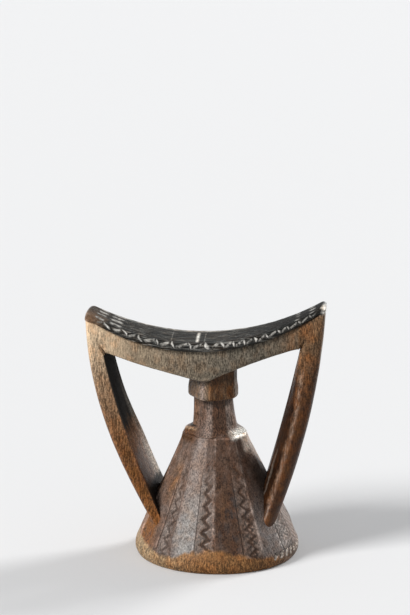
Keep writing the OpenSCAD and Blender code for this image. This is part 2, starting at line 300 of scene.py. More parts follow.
class Form:
    """The headrest's curves, worked out from its sizes, in metres and radians."""

    def __init__(self, sizes):
        self.s = sizes

    def rest_z(self, x):
        """Height of the resting face along its edges."""
        s = self.s
        return s.rest_low_z + s.rest_radius - np.sqrt(s.rest_radius ** 2 - (x - s.rest_low_x) ** 2)

    def line_z(self, x):
        """Height of the saddle's underside, where the beam and the struts end."""
        s = self.s
        return self.rest_z(x) - mix(s.slab_middle, s.slab_tip, (x / s.half_length) ** 2)

    def half_depth(self, x):
        """Half of the saddle's depth, before its tips are rounded."""
        s = self.s
        return s.depth / 2 - s.draw_in * ((x - s.wide_x) / (100 * MM)) ** 2

    def tip_drop(self, x):
        """How much the rounding of the tips takes off the saddle."""
        s = self.s
        over = np.maximum(0, np.abs(x) - s.half_length + s.tip_round)
        return s.tip_round - np.sqrt(s.tip_round ** 2 - np.minimum(over, s.tip_round) ** 2)

    def under_z(self, x):
        """Height of the beam's underside."""
        s = self.s
        left = np.clip((s.keel_x - x) / (s.keel_x + s.beam_left), 0, 1)
        right = np.clip((x - s.keel_x) / (s.beam_right - s.keel_x), 0, 1)
        near = np.clip(1 - np.abs(x - s.keel_x) / s.keel_round, 0, 1)
        worn = s.keel_worn * s.keel_round * near ** 2
        rise = bow(0, s.rise_left, -s.sag_left, left) + bow(0, s.rise_right, s.arch_right, right)
        return s.keel_z + rise + worn

    def strut_lines(self, side, z):
        """Distances of a strut's inner and outer faces from the middle, and its half depth."""
        s = self.s
        names = "left" if side < 0 else "right"
        out_root, out_bow, in_root, in_bow, depth_top, depth_root = (
            getattr(s, f"{names}_{part}")
            for part in ("out_root", "out_bow", "in_root", "in_bow", "depth_top", "depth_root"))
        end = s.beam_left if side < 0 else s.beam_right
        up = (z - s.root_z) / (self.line_z(side * s.half_length) - s.root_z)
        corner = (z - s.root_z) / (self.under_z(side * end) - s.root_z)
        outer = bow(out_root, s.half_length, out_bow, np.minimum(up, 1))
        inner = bow(in_root, end, in_bow, np.minimum(corner, 1))
        return inner, outer, mix(depth_root, depth_top, np.clip(up, 0, 1)) / 2

    def axis_x(self, z):
        """Where the skirt's leaning axis is at a height."""
        s = self.s
        return s.foot_x - s.skirt_lean * np.maximum(0, z - s.foot_h) / (s.shoulder_z - s.foot_h)

    def skirt_r(self, z):
        """Radius of the skirt to the middle of a panel, and of the foot below it."""
        s = self.s
        down = np.clip((s.shoulder_z - z) / (s.shoulder_z - s.foot_h), 0, 1)
        skirt = mix(s.shoulder_r, s.foot_r - s.foot_in_top, down ** s.flare_power)
        from_mid = z / s.foot_h - 0.5
        foot = s.foot_r - np.where(from_mid < 0, s.foot_in_low, s.foot_in_top) * 4 * from_mid ** 2
        return np.where(z < s.foot_h, foot, skirt)

    def panelled(self, radius, turn, flat, rounding=0.2 * MM):
        """Radius at each turn of a round whose flat panels meet at the ridges."""
        corner = radius * (1 + (1 / math.cos(math.pi / len(PANELS)) - 1) * flat)
        faces = [corner * face_reach(turn, (left + right) / 2, (right - left) / 2) for left, right in PANELS]
        return mix(corner, soft_least(faces, rounding), flat)

    def skirt_surface_r(self, z, turn):
        """Radius of the panelled skirt at a height and a turn."""
        s = self.s
        flat = s.panel_flat * np.clip((z - s.foot_h) / s.run_out, 0, 1)
        return self.panelled(self.skirt_r(z), turn, flat)


def hashed(cell):
    """A repeatable number from 0 to 1 for each whole-numbered cell."""
    wave = np.sin(cell @ np.array([127.1, 311.7, 74.7])) * 43758.5453
    return wave - np.floor(wave)


def ripple(points, size):
    """Smooth noise from -1 to 1, the same at a place whichever piece asks for it."""
    at = points / np.asarray(size)
    cell = np.floor(at)
    part = at - cell
    part = part * part * (3 - 2 * part)
    total = np.zeros(points.shape[:-1])
    for corner in np.ndindex(2, 2, 2):
        weight = np.prod(np.where(np.array(corner, bool), part, 1 - part), axis=-1)
        total += weight * hashed(cell + np.array(corner))
    return 2 * total - 1


def outward(grid):
    """Normals of a stack of closed rings."""
    along = np.gradient(grid, axis=0)
    around = np.roll(grid, -1, 1) - np.roll(grid, 1, 1)
    normal = np.cross(around, along)
    normal /= np.linalg.norm(normal, axis=2, keepdims=True) + 1e-12
    from_middle = grid - grid.mean(1, keepdims=True)
    return normal * np.sign((normal * from_middle).sum())


def hewn(grid, depth, keep=None):
    """Sinks a surface unevenly, as an adze and long handling leave it."""
    waves = 0.6 * ripple(grid, BROAD_WAVES) + 0.4 * ripple(grid, FINE_WAVES)
    sink = depth * (waves - 1) / 2
    if keep is not None:
        sink = sink * keep
    return grid + outward(grid) * sink[..., None]


def rounded(control, width, depth):
    """A closed section from half an outline: corners cut three times, then even steps."""
    front = [(t * width, -q * depth) for t, q in control]
    ring = np.array(front + [(t, -y) for t, y in reversed(front)])
    for _ in range(3):
        following = np.roll(ring, -1, 0)
        ring = np.stack([mix(ring, following, 0.25), mix(ring, following, 0.75)], 1).reshape(-1, 2)
    start = np.argmin(ring[:, 0] + np.abs(ring[:, 1]) * 0.01)
    ring = np.roll(ring, -start, 0)
    closed = np.vstack([ring, ring[:1]])
    run = run_along(closed)
    at = np.linspace(0, run[-1], RING_POINTS, endpoint=False)
    ring = np.stack([np.interp(at, run, closed[:, 0]), np.interp(at, run, closed[:, 1])], 1)
    return ring / (width, depth)


def signed_volume(points, faces):
    """Volume inside a closed mesh, below zero where its faces point inwards."""
    total = 0.0
    for size in {len(f) for f in faces}:
        rings = points[np.array([f for f in faces if len(f) == size])]
        for k in range(1, size - 1):
            total += (rings[:, 0] * np.cross(rings[:, k], rings[:, k + 1])).sum()
    return total / 6


def solid(name, grid, attributes=None):
    """A closed mesh through a stack of rings, capped on the first and the last."""
    rings, count = grid.shape[:2]
    here = np.arange(rings * count).reshape(rings, count)
    beside = np.roll(here, -1, 1)
    sides = np.stack([here[:-1], beside[:-1], beside[1:], here[1:]], -1).reshape(-1, 4).tolist()
    faces = sides + [here[0, ::-1].tolist(), here[-1].tolist()]
    points = grid.reshape(-1, 3)
    if signed_volume(points, faces) < 0:
        faces = [f[::-1] for f in faces]
    mesh = bpy.data.meshes.new(name)
    mesh.from_pydata(points.tolist(), [], faces)
    mesh.polygons.foreach_set("use_smooth", [True] * len(faces))
    for key, values in (attributes or {}).items():
        layer = mesh.attributes.new(key, "FLOAT", "POINT")
        layer.data.foreach_set("value", np.broadcast_to(values, (rings, count)).astype(np.float32).ravel())
    mesh.set_sharp_from_angle(angle=SHARP_ANGLE)
    piece = bpy.data.objects.new(name, mesh)
    bpy.context.scene.collection.objects.link(piece)
    return piece


class Field:
    """One output of a node. Arithmetic on it adds Math nodes, or Vector Math for a vector."""

    def __init__(self, socket):
        self.socket = socket
        self.tree = socket.id_data
        self.many = socket.type in ("VECTOR", "RGBA")

    def math(self, operation, *others):
        """Works out one number from this one and the others."""
        return node(self.tree, "ShaderNodeMath", {"operation": operation}, dict(enumerate((self, *others))))

    def both(self, operation, first, second):
        """Works out a number from two, or a vector where one of them is a vector."""
        if self.many or isinstance(second, Field) and second.many:
            first, second = (v if isinstance(v, (Field, tuple)) else (v, v, v) for v in (first, second))
            return node(self.tree, "ShaderNodeVectorMath", {"operation": operation}, {0: first, 1: second})
        return node(self.tree, "ShaderNodeMath", {"operation": operation}, {0: first, 1: second})

    def __add__(self, other):
        return self.both("ADD", self, other)

    def __radd__(self, other):
        return self.both("ADD", other, self)

    def __sub__(self, other):
        return self.both("SUBTRACT", self, other)

    def __rsub__(self, other):
        return self.both("SUBTRACT", other, self)

    def __mul__(self, other):
        return self.both("MULTIPLY", self, other)

    def __rmul__(self, other):
        return self.both("MULTIPLY", other, self)

    def __truediv__(self, other):
        return self.both("DIVIDE", self, other)

    def __rtruediv__(self, other):
        return self.both("DIVIDE", other, self)

    def __neg__(self):
        return self * -1.0

    def __abs__(self):
        return self.math("ABSOLUTE")

    def at_least(self, other):
        return self.math("MAXIMUM", other)

    def at_most(self, other):
        return self.math("MINIMUM", other)

    def fraction(self):
        return self.math("FRACT")

    def rises(self, low, high):
        """0 below low and 1 above high, with a smooth step between."""
        settings = {"interpolation_type": "SMOOTHSTEP"}
        return node(self.tree, "ShaderNodeMapRange", settings, {0: self, 1: low, 2: high, 3: 0.0, 4: 1.0})

    def falls(self, low, high):
        """1 below low and 0 above high, with a smooth step between."""
        return 1.0 - self.rises(low, high)

    def hump(self, middle, width):
        """1 at the middle, falling smoothly to 0 a width away on both sides."""
        return abs(self - middle).falls(0.0, width)

    def scaled(self, factor):
        """Multiplies a vector or a colour by one number."""
        return node(self.tree, "ShaderNodeVectorMath", {"operation": "SCALE"}, {0: self, "Scale": factor})

    def part(self, axis):
        """The X, Y or Z of a vector, or the red, green or blue of a colour."""
        return node(self.tree, "ShaderNodeSeparateXYZ", {}, {0: self}, "XYZ".index(axis))


def node(tree, kind, settings, values, out=0):
    """Adds a node, sets it up, then fills its sockets with values or links; returns one output."""
    new = tree.nodes.new(kind)
    for key, value in settings.items():
        if key == "stops":
            while len(new.color_ramp.elements) < len(value):
                new.color_ramp.elements.new(1.0)
            for stop, (place, level) in zip(new.color_ramp.elements, value):
                stop.position, stop.color = place, (level, level, level, 1.0)
        else:
            setattr(new, key, value)
    for key, value in values.items():
        if isinstance(value, Field):
            tree.links.new(value.socket, new.inputs[key])
        else:
            new.inputs[key].default_value = value
    return Field(new.outputs[out])


def noise(place, size, detail=2.0, roughness=0.5, distortion=0.0, shift=0.0):
    """Noise from 0 to 1 with waves of the sizes given along X, Y and Z, read a shift away."""
    values = {"Vector": (place + shift) * tuple(1.0 / v for v in size), "Scale": 1.0, "Detail": detail,
              "Roughness": roughness, "Distortion": distortion}
    return node(place.tree, "ShaderNodeTexNoise", {}, values)


def tint(first, second, factor):
    """Mixes two colours, each a colour of three numbers or a field."""
    tree = next(v.tree for v in (factor, first, second) if isinstance(v, Field))
    first, second = (v if isinstance(v, Field) else (*v, 1.0) for v in (first, second))
    settings = {"data_type": "RGBA", "blend_type": "MIX", "clamp_factor": True}
    return node(tree, "ShaderNodeMix", settings, {0: factor, 6: first, 7: second}, 2)


def levels(place, low, high, stops):
    """A number that goes through the levels of the stops as place goes from low to high."""
    most = max(1.0, *(level for at, level in stops))
    along = node(place.tree, "ShaderNodeMapRange", {}, {0: place, 1: low, 2: high, 3: 0.0, 4: 1.0})
    ramp = [((at - low) / (high - low), level / most) for at, level in stops]
    return node(place.tree, "ShaderNodeValToRGB", {"stops": ramp}, {0: along}).part("X") * most


# Geometry Nodes: the cut ornament

def new_cutter(name, sizes):
    """Starts a tree of Geometry Nodes with named inputs; returns it and its input fields."""
    tree = bpy.data.node_groups.new(name, "GeometryNodeTree")
    tree.interface.new_socket("Geometry", in_out="INPUT", socket_type="NodeSocketGeometry")
    for label, default in sizes.items():
        kind = "NodeSocketInt" if isinstance(default, int) else "NodeSocketFloat"
        tree.interface.new_socket(label, in_out="INPUT", socket_type=kind).default_value = default
    tree.interface.new_socket("Material", in_out="INPUT", socket_type="NodeSocketMaterial")
    tree.interface.new_socket("Geometry", in_out="OUTPUT", socket_type="NodeSocketGeometry")
    given = tree.nodes.new("NodeGroupInput")
    return tree, {socket.name: Field(socket) for socket in given.outputs if socket.name}


def stored(tree, name):
    """Reads a value that the mesh holds at each point."""
    return node(tree, "GeometryNodeInputNamedAttribute", {"data_type": "FLOAT"}, {"Name": name})


def end_cutter(tree, given, sink, **marks):
    """Sinks the surface, notes the marks for the materials, and ends the tree."""
    normal = node(tree, "GeometryNodeInputNormal", {}, {})
    settings = {"data_type": "FLOAT", "domain": "POINT"}
    noted = given["Geometry"]
    for name, value in marks.items():
        values = {"Geometry": noted, "Name": name, "Value": stored(tree, name).at_least(value)}
        noted = node(tree, "GeometryNodeStoreNamedAttribute", settings, values)
    moved = node(tree, "GeometryNodeSetPosition", {}, {"Geometry": noted, "Offset": normal.scaled(-sink)})
    real = node(tree, "GeometryNodeRealizeInstances", {}, {0: moved})
    dressed = node(tree, "GeometryNodeSetMaterial", {}, {"Geometry": real, "Material": given["Material"]})
    tree.links.new(dressed.socket, tree.nodes.new("NodeGroupOutput").inputs[0])


def zigzag_cutter():
    """Cuts a zigzag groove with its border lines along a band, or chips where Chips is 1."""
    tree, given = new_cutter("Zigzag", {
        "Pitch": 8.6 * MM, "Steep Share": 0.5, "Middle": 0.5, "Reach": 0.3, "Groove Width": 1.8 * MM,
        "Groove Depth": 0.7 * MM, "Border Width": 0.9 * MM, "Border Depth": 0.4 * MM,
        "Nested Pitch": 2.6 * MM, "Chips": 0.0, "Seed": 7})
    across, run, breadth, cut, edged, nest = (
        stored(tree, key) for key in ("across", "run", "breadth", "cut", "edged", "nested"))
    chips = given["Chips"]
    place = node(tree, "GeometryNodeInputPosition", {}, {}) * (1 / MM)
    uneven = noise(place, (9.0, 9.0, 9.0), 1.0, shift=given["Seed"] * 31.0) - 0.5
    rough = noise(place, (3.5, 3.5, 5.0), shift=23.0) - 0.5

    # The zigzag's line: how far across the band it lies, and how steeply it climbs
    turn = (run / given["Pitch"] + uneven * (chips * 0.35 + 0.35)).fraction()
    steep = given["Steep Share"]
    climb = (1.0 - turn / steep).at_least((turn - steep) / (1.0 - steep))
    line = given["Middle"] + (climb - 0.5) * 2.0 * given["Reach"]
    on_steep = turn.math("LESS_THAN", steep)
    rise = 2.0 * given["Reach"] * breadth / given["Pitch"]
    slope = rise / (on_steep * steep + (1.0 - on_steep) * (1.0 - steep))
    tilt = (slope * slope + 1.0).math("SQRT")

    # The groove: one line, nested ones, or one that a mirrored line crosses
    width = given["Groove Width"] * (1.0 - nest) + given["Nested Pitch"] * nest * 0.55
    above = (across - line + uneven * 0.2 + rough * 0.22) * breadth / tilt
    nested = ((above / given["Nested Pitch"] + 0.5).fraction() - 0.5) * given["Nested Pitch"]
    above = above + (nested - above) * nest
    mirrored = (across + line - given["Middle"] * 2.0 + rough * 0.2) * breadth / tilt
    crossing = (1.0 - abs(mirrored) * 2.5 / width).rises(0.0, 0.95) * stored(tree, "crossed")
    apart = 1.0 - (abs(climb - 0.5) * 2.0).rises(0.5, 0.86) * chips
    groove = ((1.0 - abs(above) * 2.0 / width).rises(0.0, 0.95) * apart).at_least(crossing)

    # The lines along both sides of the band
    left_line = (1.0 - abs(across) * breadth * 2.0 / given["Border Width"]).rises(0.0, 1.0)
    right_line = (1.0 - abs(across - 1.0) * breadth / given["Border Width"]).rises(0.0, 1.0)
    broken = (noise(place, (3.0, 3.0, 7.0), 1.0, shift=7.0) - 0.5) * 4.0 + 0.9
    border = left_line.at_least(right_line * stored(tree, "crease")) * broken.rises(0.0, 0.7) * edged

    # Pale wood: the teeth between the grooves; and a painted highlight (glint) on one wall of each chip
    left_teeth = (-above).rises(0.3 * MM, 1.6 * MM) * across.rises(0.0, 0.15)
    right_teeth = above.rises(0.5 * MM, 1.8 * MM) * across.falls(0.8, 1.0) * 0.7
    patchy = (uneven * 2.0 + rough + 0.8).rises(0.0, 1.0)
    teeth = left_teeth.at_least(right_teeth) * (1.0 - border) * patchy * (1.0 - chips)
    wall = (above.hump(width * 0.4, width * 0.72) * 1.6).at_most(1.0)
    bright = (noise(place, (2.2, 2.2, 2.2), shift=91.0) * 3.6 - 1.0 + on_steep * 0.5).rises(0.0, 1.0)
    glints = wall * bright * apart * chips.at_least(nest * 0.9)

    faded = (uneven * 1.4 + rough * 1.8 + 0.75).rises(0.0, 0.9)
    sink = (groove * given["Groove Depth"] * cut).at_least(border * given["Border Depth"])
    shown = (groove * (chips + faded).at_most(1.0) * cut).at_least(border)
    # The light mark: pale teeth, and the painted glints
    end_cutter(tree, given, sink, groove=shown, light=(teeth * 0.45).at_least(glints) * cut)
    return tree


def stroke_cutter():
    """Cuts a row of short strokes side by side, each with a painted highlight on one wall."""
    tree, given = new_cutter("Strokes", {
        "Pitch": 3.4 * MM, "Stroke Width": 1.4 * MM, "Depth": 0.4 * MM, "Darkness": 0.9, "Glint": 1.0,
        "Glint Width": 0.5, "Glint Length": 4.0, "Seed": 7})
    run, cut = stored(tree, "stroke_run"), stored(tree, "stroke_cut")
    place = node(tree, "GeometryNodeInputPosition", {}, {}) * (1 / MM)
    uneven = noise(place, (6.0, 6.0, 6.0), 1.0, shift=given["Seed"] * 17.0) - 0.5
    beside = ((run / given["Pitch"] + uneven * 0.35).fraction() - 0.5) * given["Pitch"]
    reach = (cut + uneven * 0.8 * cut).rises(0.25, 0.6)
    groove = (1.0 - abs(beside) * 2.0 / given["Stroke Width"]).rises(0.0, 1.0) * reach
    bright = noise(place * (4.0 / given["Glint Length"]), (4.0, 2.0, 4.0), 1.0, shift=61.0)
    # Painted highlight (glint) on one wall of each stroke
    wall = beside.hump(given["Stroke Width"] * 0.3, given["Stroke Width"] * given["Glint Width"])
    wall = wall * reach * given["Glint"] * (bright * 2.6 - 0.5).rises(0.0, 1.0)
    dark = (groove * given["Darkness"]).at_most(1.0)
    end_cutter(tree, given, groove * given["Depth"], groove=dark, light=wall)
    return tree


def wear_finder():
    """Notes where the surface stands proud, for rubbed edges, or lies hollow, for darkening."""
    tree, given = new_cutter("Wear", {"Steps": 6, "Height": 0.1 * MM})
    place = node(tree, "GeometryNodeInputPosition", {}, {})
    settled = node(tree, "GeometryNodeBlurAttribute", {"data_type": "FLOAT_VECTOR"},
                   {"Value": place, "Iterations": given["Steps"]})
    normal = node(tree, "GeometryNodeInputNormal", {}, {})
    proud = node(tree, "ShaderNodeVectorMath", {"operation": "DOT_PRODUCT"},
                 {0: place - settled, 1: normal}, 1)
    proud = proud / given["Height"] * (1.0 - stored(tree, "seam"))
    still = proud * 0.0
    end_cutter(tree, given, still, proud=proud.at_most(1.0), hollow=(-proud).at_most(1.0))
    return tree


def cut_with(piece, tree, material, **sizes):
    """Runs a cutter over a piece and keeps the result as its plain mesh."""
    modifier = piece.modifiers.new(tree.name, "NODES")
    modifier.node_group = tree
    wanted = {key.replace("_", " "): value for key, value in sizes.items()}
    for item in tree.interface.items_tree:
        if item.in_out == "INPUT" and item.name == "Material":
            modifier[item.identifier] = material
        elif item.in_out == "INPUT" and item.name in wanted:
            modifier[item.identifier] = wanted.pop(item.name)
    if wanted:
        raise ValueError(f"{tree.name} has no input named {sorted(wanted)}")
    view = bpy.context.evaluated_depsgraph_get()
    cut = piece.evaluated_get(view)
    mesh = bpy.data.meshes.new_from_object(cut, preserve_all_data_layers=True, depsgraph=view)
    piece.modifiers.remove(modifier)
    piece.data = mesh


# Materials: places are in millimetres and turns in degrees, in every paint function and table

# Sizes of the wood's fibres along X, Y and Z
UPRIGHT = (0.75, 0.75, 4.8)
LENGTHWISE = (30.0, 0.8, 1.0)

# What a colour is multiplied by: in warmer and cooler clouds, on the right strut as a whole,
# on the parts of it that turn away from the light, and on the rim behind that strut
WARMER, COOLER = (1.13, 0.96, 0.80), (0.96, 1.0, 1.0)
RUDDY = (0.92, 0.83, 0.72)
IN_SHADE, TURNED_AWAY = (0.30, 0.28, 0.27), (0.6, 0.58, 0.56)
RIM_DARKENED = (0.5, 0.47, 0.45)

# The cut across the resting face and the two faint ones beside it, as places along the saddle
NICK, FAINT_NICKS = -5.5, (-0.6, -23.0)

# How grey the beam is along it, and how tan the left strut is up its height
BEAM_GREY = ((-76, 0.0), (-60, 0.14), (-35, 0.55), (-5, 0.85), (16, 1.0))
STRUT_TAN = ((66, 0.0), (98, 0.14), (120, 0.48), (144, 1.0))

# How thick the grey film is at turns round the neck, and round the skirt high up and low down
# Painted sheen in them: the neck's peak from -12 to -4 on its ridge, the skirt's from -28 to -13 on its front
# left facet
NECK_FILM_AND_SHEEN = ((-180, 0.5), (-72, 0.3), (-68, 0.4), (-32, 0.25), (-24, 0.2), (-12, 0.55), (-4, 0.5), (2, 0.0),
             (36, 0.05), (40, 0.9), (74, 1.0), (110, 0.5))
FILM_AND_SHEEN_HIGH = ((-180, 0.35), (-142, 0.5), (-107, 0.4), (-105, 0.1), (-72, 0.1), (-68, 0.3), (-46, 0.24),
             (-31, 0.3), (-28, 0.8), (-13, 0.65), (-10, 0.2), (0, 0.14), (3, 0.08), (22, 0.03), (37, 0.12),
             (40, 0.12), (60, 0.25), (74, 0.9), (110, 0.8), (146, 0.35))
FILM_AND_SHEEN_LOW = ((-180, 0.35), (-142, 0.5), (-107, 0.3), (-96, 0.0), (-72, 0.1), (-68, 0.4), (-46, 0.26),
            (-31, 0.24), (-28, 0.86), (-13, 0.9), (-11, 0.02), (1, 0.05), (3, 0.06), (22, 0.03), (37, 0.12),
            (40, 0.6), (58, 0.85), (76, 1.0), (110, 0.8), (146, 0.35))

# How strong the ledge's painted highlight is, and how pale and how grey the rim's bare wood is, at turns
# round the skirt
LEDGE_LIT = ((-150, 0.1), (-130, 0.0), (28, 0.0), (46, 0.9), (90, 1.0), (120, 0.6), (150, 0.1))
RIM_PALE = ((-180, 0.1), (-120, 0.6), (-40, 0.9), (8, 0.0), (180, 0.1))
RIM_GREY = ((-180, 0.5), (-140, 0.3), (-100, 0.0), (60, 0.0), (95, 0.7), (180, 0.5))


def attribute(tree, name):
    """Reads a value that the mesh holds, in a material."""
    return node(tree, "ShaderNodeAttribute", {"attribute_name": name}, {}, "Fac")


def turn_field(place, centre):
    """Turn round the skirt in degrees, 0 at the front and rising towards +X."""
    x, y = place.part("X") - centre, place.part("Y")
    return x.math("ARCTAN2", -y) * (180 / math.pi)


def round_levels(turn, stops):
    """Levels that go with the turn."""
    return levels(turn, -180, 180, stops)


def wood(name, paint, grain=UPRIGHT, streak=3.0, gloss=0.5, shine=0.2, bump=0.4, worn=0.6, darkening=0.8,
         carved=0.85, pale_and_glint_level=0.7, pale_and_glint_tone=(1.0, 1.0, 1.0), polish=0.4, crackle=0.0):
    """Old hand-worn wood: paint gives the piece's colours and its painted light and shade, grain the size of
    its fibres.

    The streak is how strongly the fibres show: one number, or an axis and the levels along it.
    """
    material = bpy.data.materials.new(name)
    material.use_nodes = True
    tree = material.node_tree
    tree.nodes.clear()
    colours = bpy.context.scene.headrest_colours
    place = node(tree, "ShaderNodeTexCoord", {}, {}, "Object") * (1 / MM)
    fibre = noise(place, grain, 3.0, 0.62, 0.3)
    speck = noise(place, (0.9, 0.9, 1.2), 2.0, 0.6, shift=11.0)
    cloud = noise(place, (6.0, 6.0, 9.0), 3.0, 0.58)
    warm = noise(place, (5.5, 5.5, 8.0), shift=53.0)
    groove, light, proud, hollow = (attribute(tree, key) for key in ("groove", "light", "proud", "hollow"))
    if isinstance(streak, tuple):
        axis, stops = streak
        streak = levels(place.part(axis), -200, 200, stops)
    contrast = (fibre - 0.5) * streak + (speck - 0.5) * streak * 0.6 + (cloud - 0.5) * 1.1 + 1.0
    if crackle:
        vein = noise(place, (3.4, 3.4, 5.0), 3.0, 0.6, shift=29.0)
        contrast = contrast + (1.0 - abs(vein - 0.5) * 14.0).at_least(0.0) * crackle - crackle * 0.15
    contrast = contrast.at_least(0.42)
    rubbed = proud.rises(0.15, 0.95)
    tone = paint(place, colours, cloud)
    tone = tint(tone, tone * WARMER, warm.rises(0.48, 0.62) * 0.45)
    tone = tint(tone, tone * COOLER, (1.0 - warm).rises(0.48, 0.62) * 0.6).scaled(contrast)
    tone = tint(tone, tone * 2.0, rubbed * worn)
    # Darker in the hollows that the wear finder noted
    tone = tint(tone, colours.umber, hollow.rises(0.15, 0.9) * darkening)
    # Pale teeth, and painted highlights (glints) on the walls of chips and notches, from the light mark
    pale = tuple(max(pale_and_glint_level, 1.0) * v * t for v, t in zip(colours.pale_and_highlight, pale_and_glint_tone))
    tone = tint(tone, tint(tone, pale, min(pale_and_glint_level, 1.0)).scaled(contrast), light)
    tone = tint(tone, colours.umber, groove * carved * (1.0 - light))
    rough = gloss + (cloud - 0.5) * 0.35 + groove * 0.15 - rubbed * 0.15 + attribute(tree, "matte") * 0.5
    height = contrast * 0.5 + cloud * 0.8
    normal = node(tree, "ShaderNodeBump", {}, {"Strength": bump, "Distance": 0.4 * MM, "Height": height})
    shader = node(tree, "ShaderNodeBsdfPrincipled", {}, {
        "Base Color": tone, "Roughness": rough, "Specular IOR Level": shine, "Normal": normal,
        "Coat Weight": rubbed.at_least(light) * polish, "Coat Roughness": 0.3})
    tree.links.new(shader.socket, tree.nodes.new("ShaderNodeOutputMaterial").inputs["Surface"])
    return material


def paint_saddle(place, colours, cloud):
    """Smoked black with long scratches and a nick across, rubbed bare at the tips, with painted sheen and
    shade.
    """
    x, y = place.part("X"), place.part("Y")
    # The pale scratches are real scratches and partly a painted sheen on the resting face
    scratch = noise(place, (34.0, 0.9, 1.4), 2.0, 0.6, 0.2)
    second = noise(place, (18.0, 0.6, 1.4), 1.0, shift=40.0)
    dashes = noise(place, (5.0, 2.5, 2.5), 1.0, shift=15.0).rises(0.42, 0.54)
    # Painted highlight: broken pale dashes along the far edge
    far_edge = y.rises(12.0, 17.0) * (0.14 + dashes * 0.66)
    pale = scratch.rises(0.54, 0.70) * 0.2 + second.rises(0.58, 0.68) * 0.34 + far_edge
    tone = tint(colours.black, colours.pale_and_highlight, pale * (1.0 - x.rises(16.0, 52.0) * 0.5))
    tone = tint(tone, colours.umber, (1.0 - scratch).rises(0.52, 0.64) * 0.75)
    # Painted shade: lighter in the middle of the face and darker towards the right end
    tone = tone.scaled(1.16 - x.rises(8.0, 60.0) * 0.6)
    left_tip = (cloud * 9.0 - x).rises(69.0, 80.0) * (1.0 - (y + cloud * 8.0).rises(-13.0, 6.0) * 0.8)
    tone = tint(tone, colours.bronze, left_tip * 0.95)
    # Rubbed pale at the right tip, with a painted sheen
    right_tip = (x + cloud * 6.0 - (y + 20.0).at_least(0.0) * 0.12).rises(79.5, 82.5)
    tone = tint(tone, colours.pale_and_highlight * 1.2, right_tip * cloud.rises(0.2, 0.42))
    leaning = x + y * 0.035
    across = y.rises(-19.5, -17.5) * y.falls(2.0, 15.0)
    first, last = (leaning.hump(at, 0.7) for at in FAINT_NICKS)
    faint = first.at_least(last) * across * scratch.rises(0.4, 0.6) * 0.3
    return tint(tone, colours.pale_and_highlight * 1.6, (leaning.hump(NICK, 1.7) * across).at_least(faint))


def paint_beam(place, colours, cloud):
    """Tan on the left, grey in the middle and brown on the right; the pale left end is partly painted light.
    """
    x = place.part("X") + (cloud - 0.5) * 14.0
    tone = tint(colours.tan, colours.grey, levels(x, -82, 82, BEAM_GREY))
    # Palest at the left corner: the wood's tan, partly painted light
    tone = tint(tone, colours.tan * 1.7, x.falls(-76.0, -48.0))
    tone = tint(tone, colours.brown, x.rises(36.0, 72.0))
    return tint(tone, colours.orange, x.rises(46.0, 70.0) * cloud.rises(0.3, 0.65) * 0.6)


def paint_left_strut(place, colours, cloud):
    """Tan at the top, turning orange-brown down to the root, with painted shade and painted light on its
    inner face.
    """
    stray = cloud - 0.5
    y, height = place.part("Y"), place.part("Z")
    z, near_z = height + stray * 30.0, height + stray * 5.0
    outward_share = attribute(place.tree, "share")
    tone = tint(colours.orange, colours.tan, levels(z, 20, 170, STRUT_TAN))
    tone = tone.scaled(1.22 - z.rises(30.0, 52.0) * 0.22)
    # Palest at the top by the beam's left corner: the wood's tan, partly painted light
    tone = tint(tone, colours.tan * 1.7, z.rises(132.0, 158.0))
    tone = tint(tone, colours.red, cloud.rises(0.40, 0.75) * 0.5)
    inside = outward_share.falls(0.02, 0.09)
    # Painted shade on the inner face above the knee
    tone = tint(tone, colours.umber * 0.4, inside * z.rises(72.0, 96.0))
    # Painted light on the lower inner face, paler towards the back and palest low down
    low = inside * z.falls(66.0, 90.0)
    tone = tint(tone, tint(colours.red * 0.8, colours.pink * 0.7, y.rises(-14.0, 10.0)), low)
    tone = tint(tone, colours.lit_pale, low * y.rises(4.0, 24.0) * near_z.falls(54.0, 92.0))
    # Painted shade low on the inner face, above the skirt
    tone = tint(tone, colours.umber * 0.4, inside * near_z.falls(47.5, 51.5) * 0.95)
    # Painted highlight along the inner face's back edge
    lit_edge = outward_share.hump(0.035, 0.045) * y.rises(6.0, 13.0)
    lit_edge = lit_edge * near_z.falls(96.0, 124.0) * near_z.rises(48.0, 52.0)
    return tint(tone, colours.lit_pale * 1.03, lit_edge * 0.9)


def paint_right_strut(place, colours, cloud):
    """Red-brown with painted highlights on its ridge and edges, painted shade inside, browner where it meets
    the beam.
    """
    stray = cloud - 0.5
    z = place.part("Z") + stray * 30.0
    outward_share = attribute(place.tree, "share") + stray * 0.16
    below = z.falls(126.0, 146.0)
    tone = tint(colours.red, colours.brown, z.rises(104.0, 160.0) * 0.8)
    tone = tint(tone, colours.orange, cloud.rises(0.34, 0.72) * (0.6 + below * 0.1))
    tone = tint(tone, tone * IN_SHADE, outward_share.falls(0.26, 0.40) * below)
    tone = tint(tone, tone * TURNED_AWAY, outward_share.rises(0.70, 0.92) * below * 0.7)
    # Painted highlight along the ridge, broken by streaks
    streak = noise(place, (1.6, 1.6, 9.0), 2.0, 0.6, shift=70.0).rises(0.42, 0.58)
    tone = tint(tone, colours.pink, outward_share.hump(0.42, 0.15) * below * (0.06 + streak * 0.42))
    # Painted highlight along the inner edge low down
    tone = tint(tone, colours.film, outward_share.hump(0.10, 0.05) * z.falls(66.0, 84.0) * 0.5)
    tone = (tone * RUDDY).scaled(0.94 + z.rises(96.0, 128.0) * 0.22)
    # Painted highlight along the outer edge high up
    tone = tint(tone, colours.pale_and_highlight, outward_share.rises(0.92, 1.0) * z.rises(118.0, 140.0) * streak * 0.7)
    # Rubbed pale with a painted sheen at the top, under the saddle's right tip
    tip = (place.part("Z") + stray * 8.0).rises(168.0, 172.0) * place.part("X").rises(73.0, 79.0)
    return tint(tone, colours.pale_and_highlight, tip * 0.9)


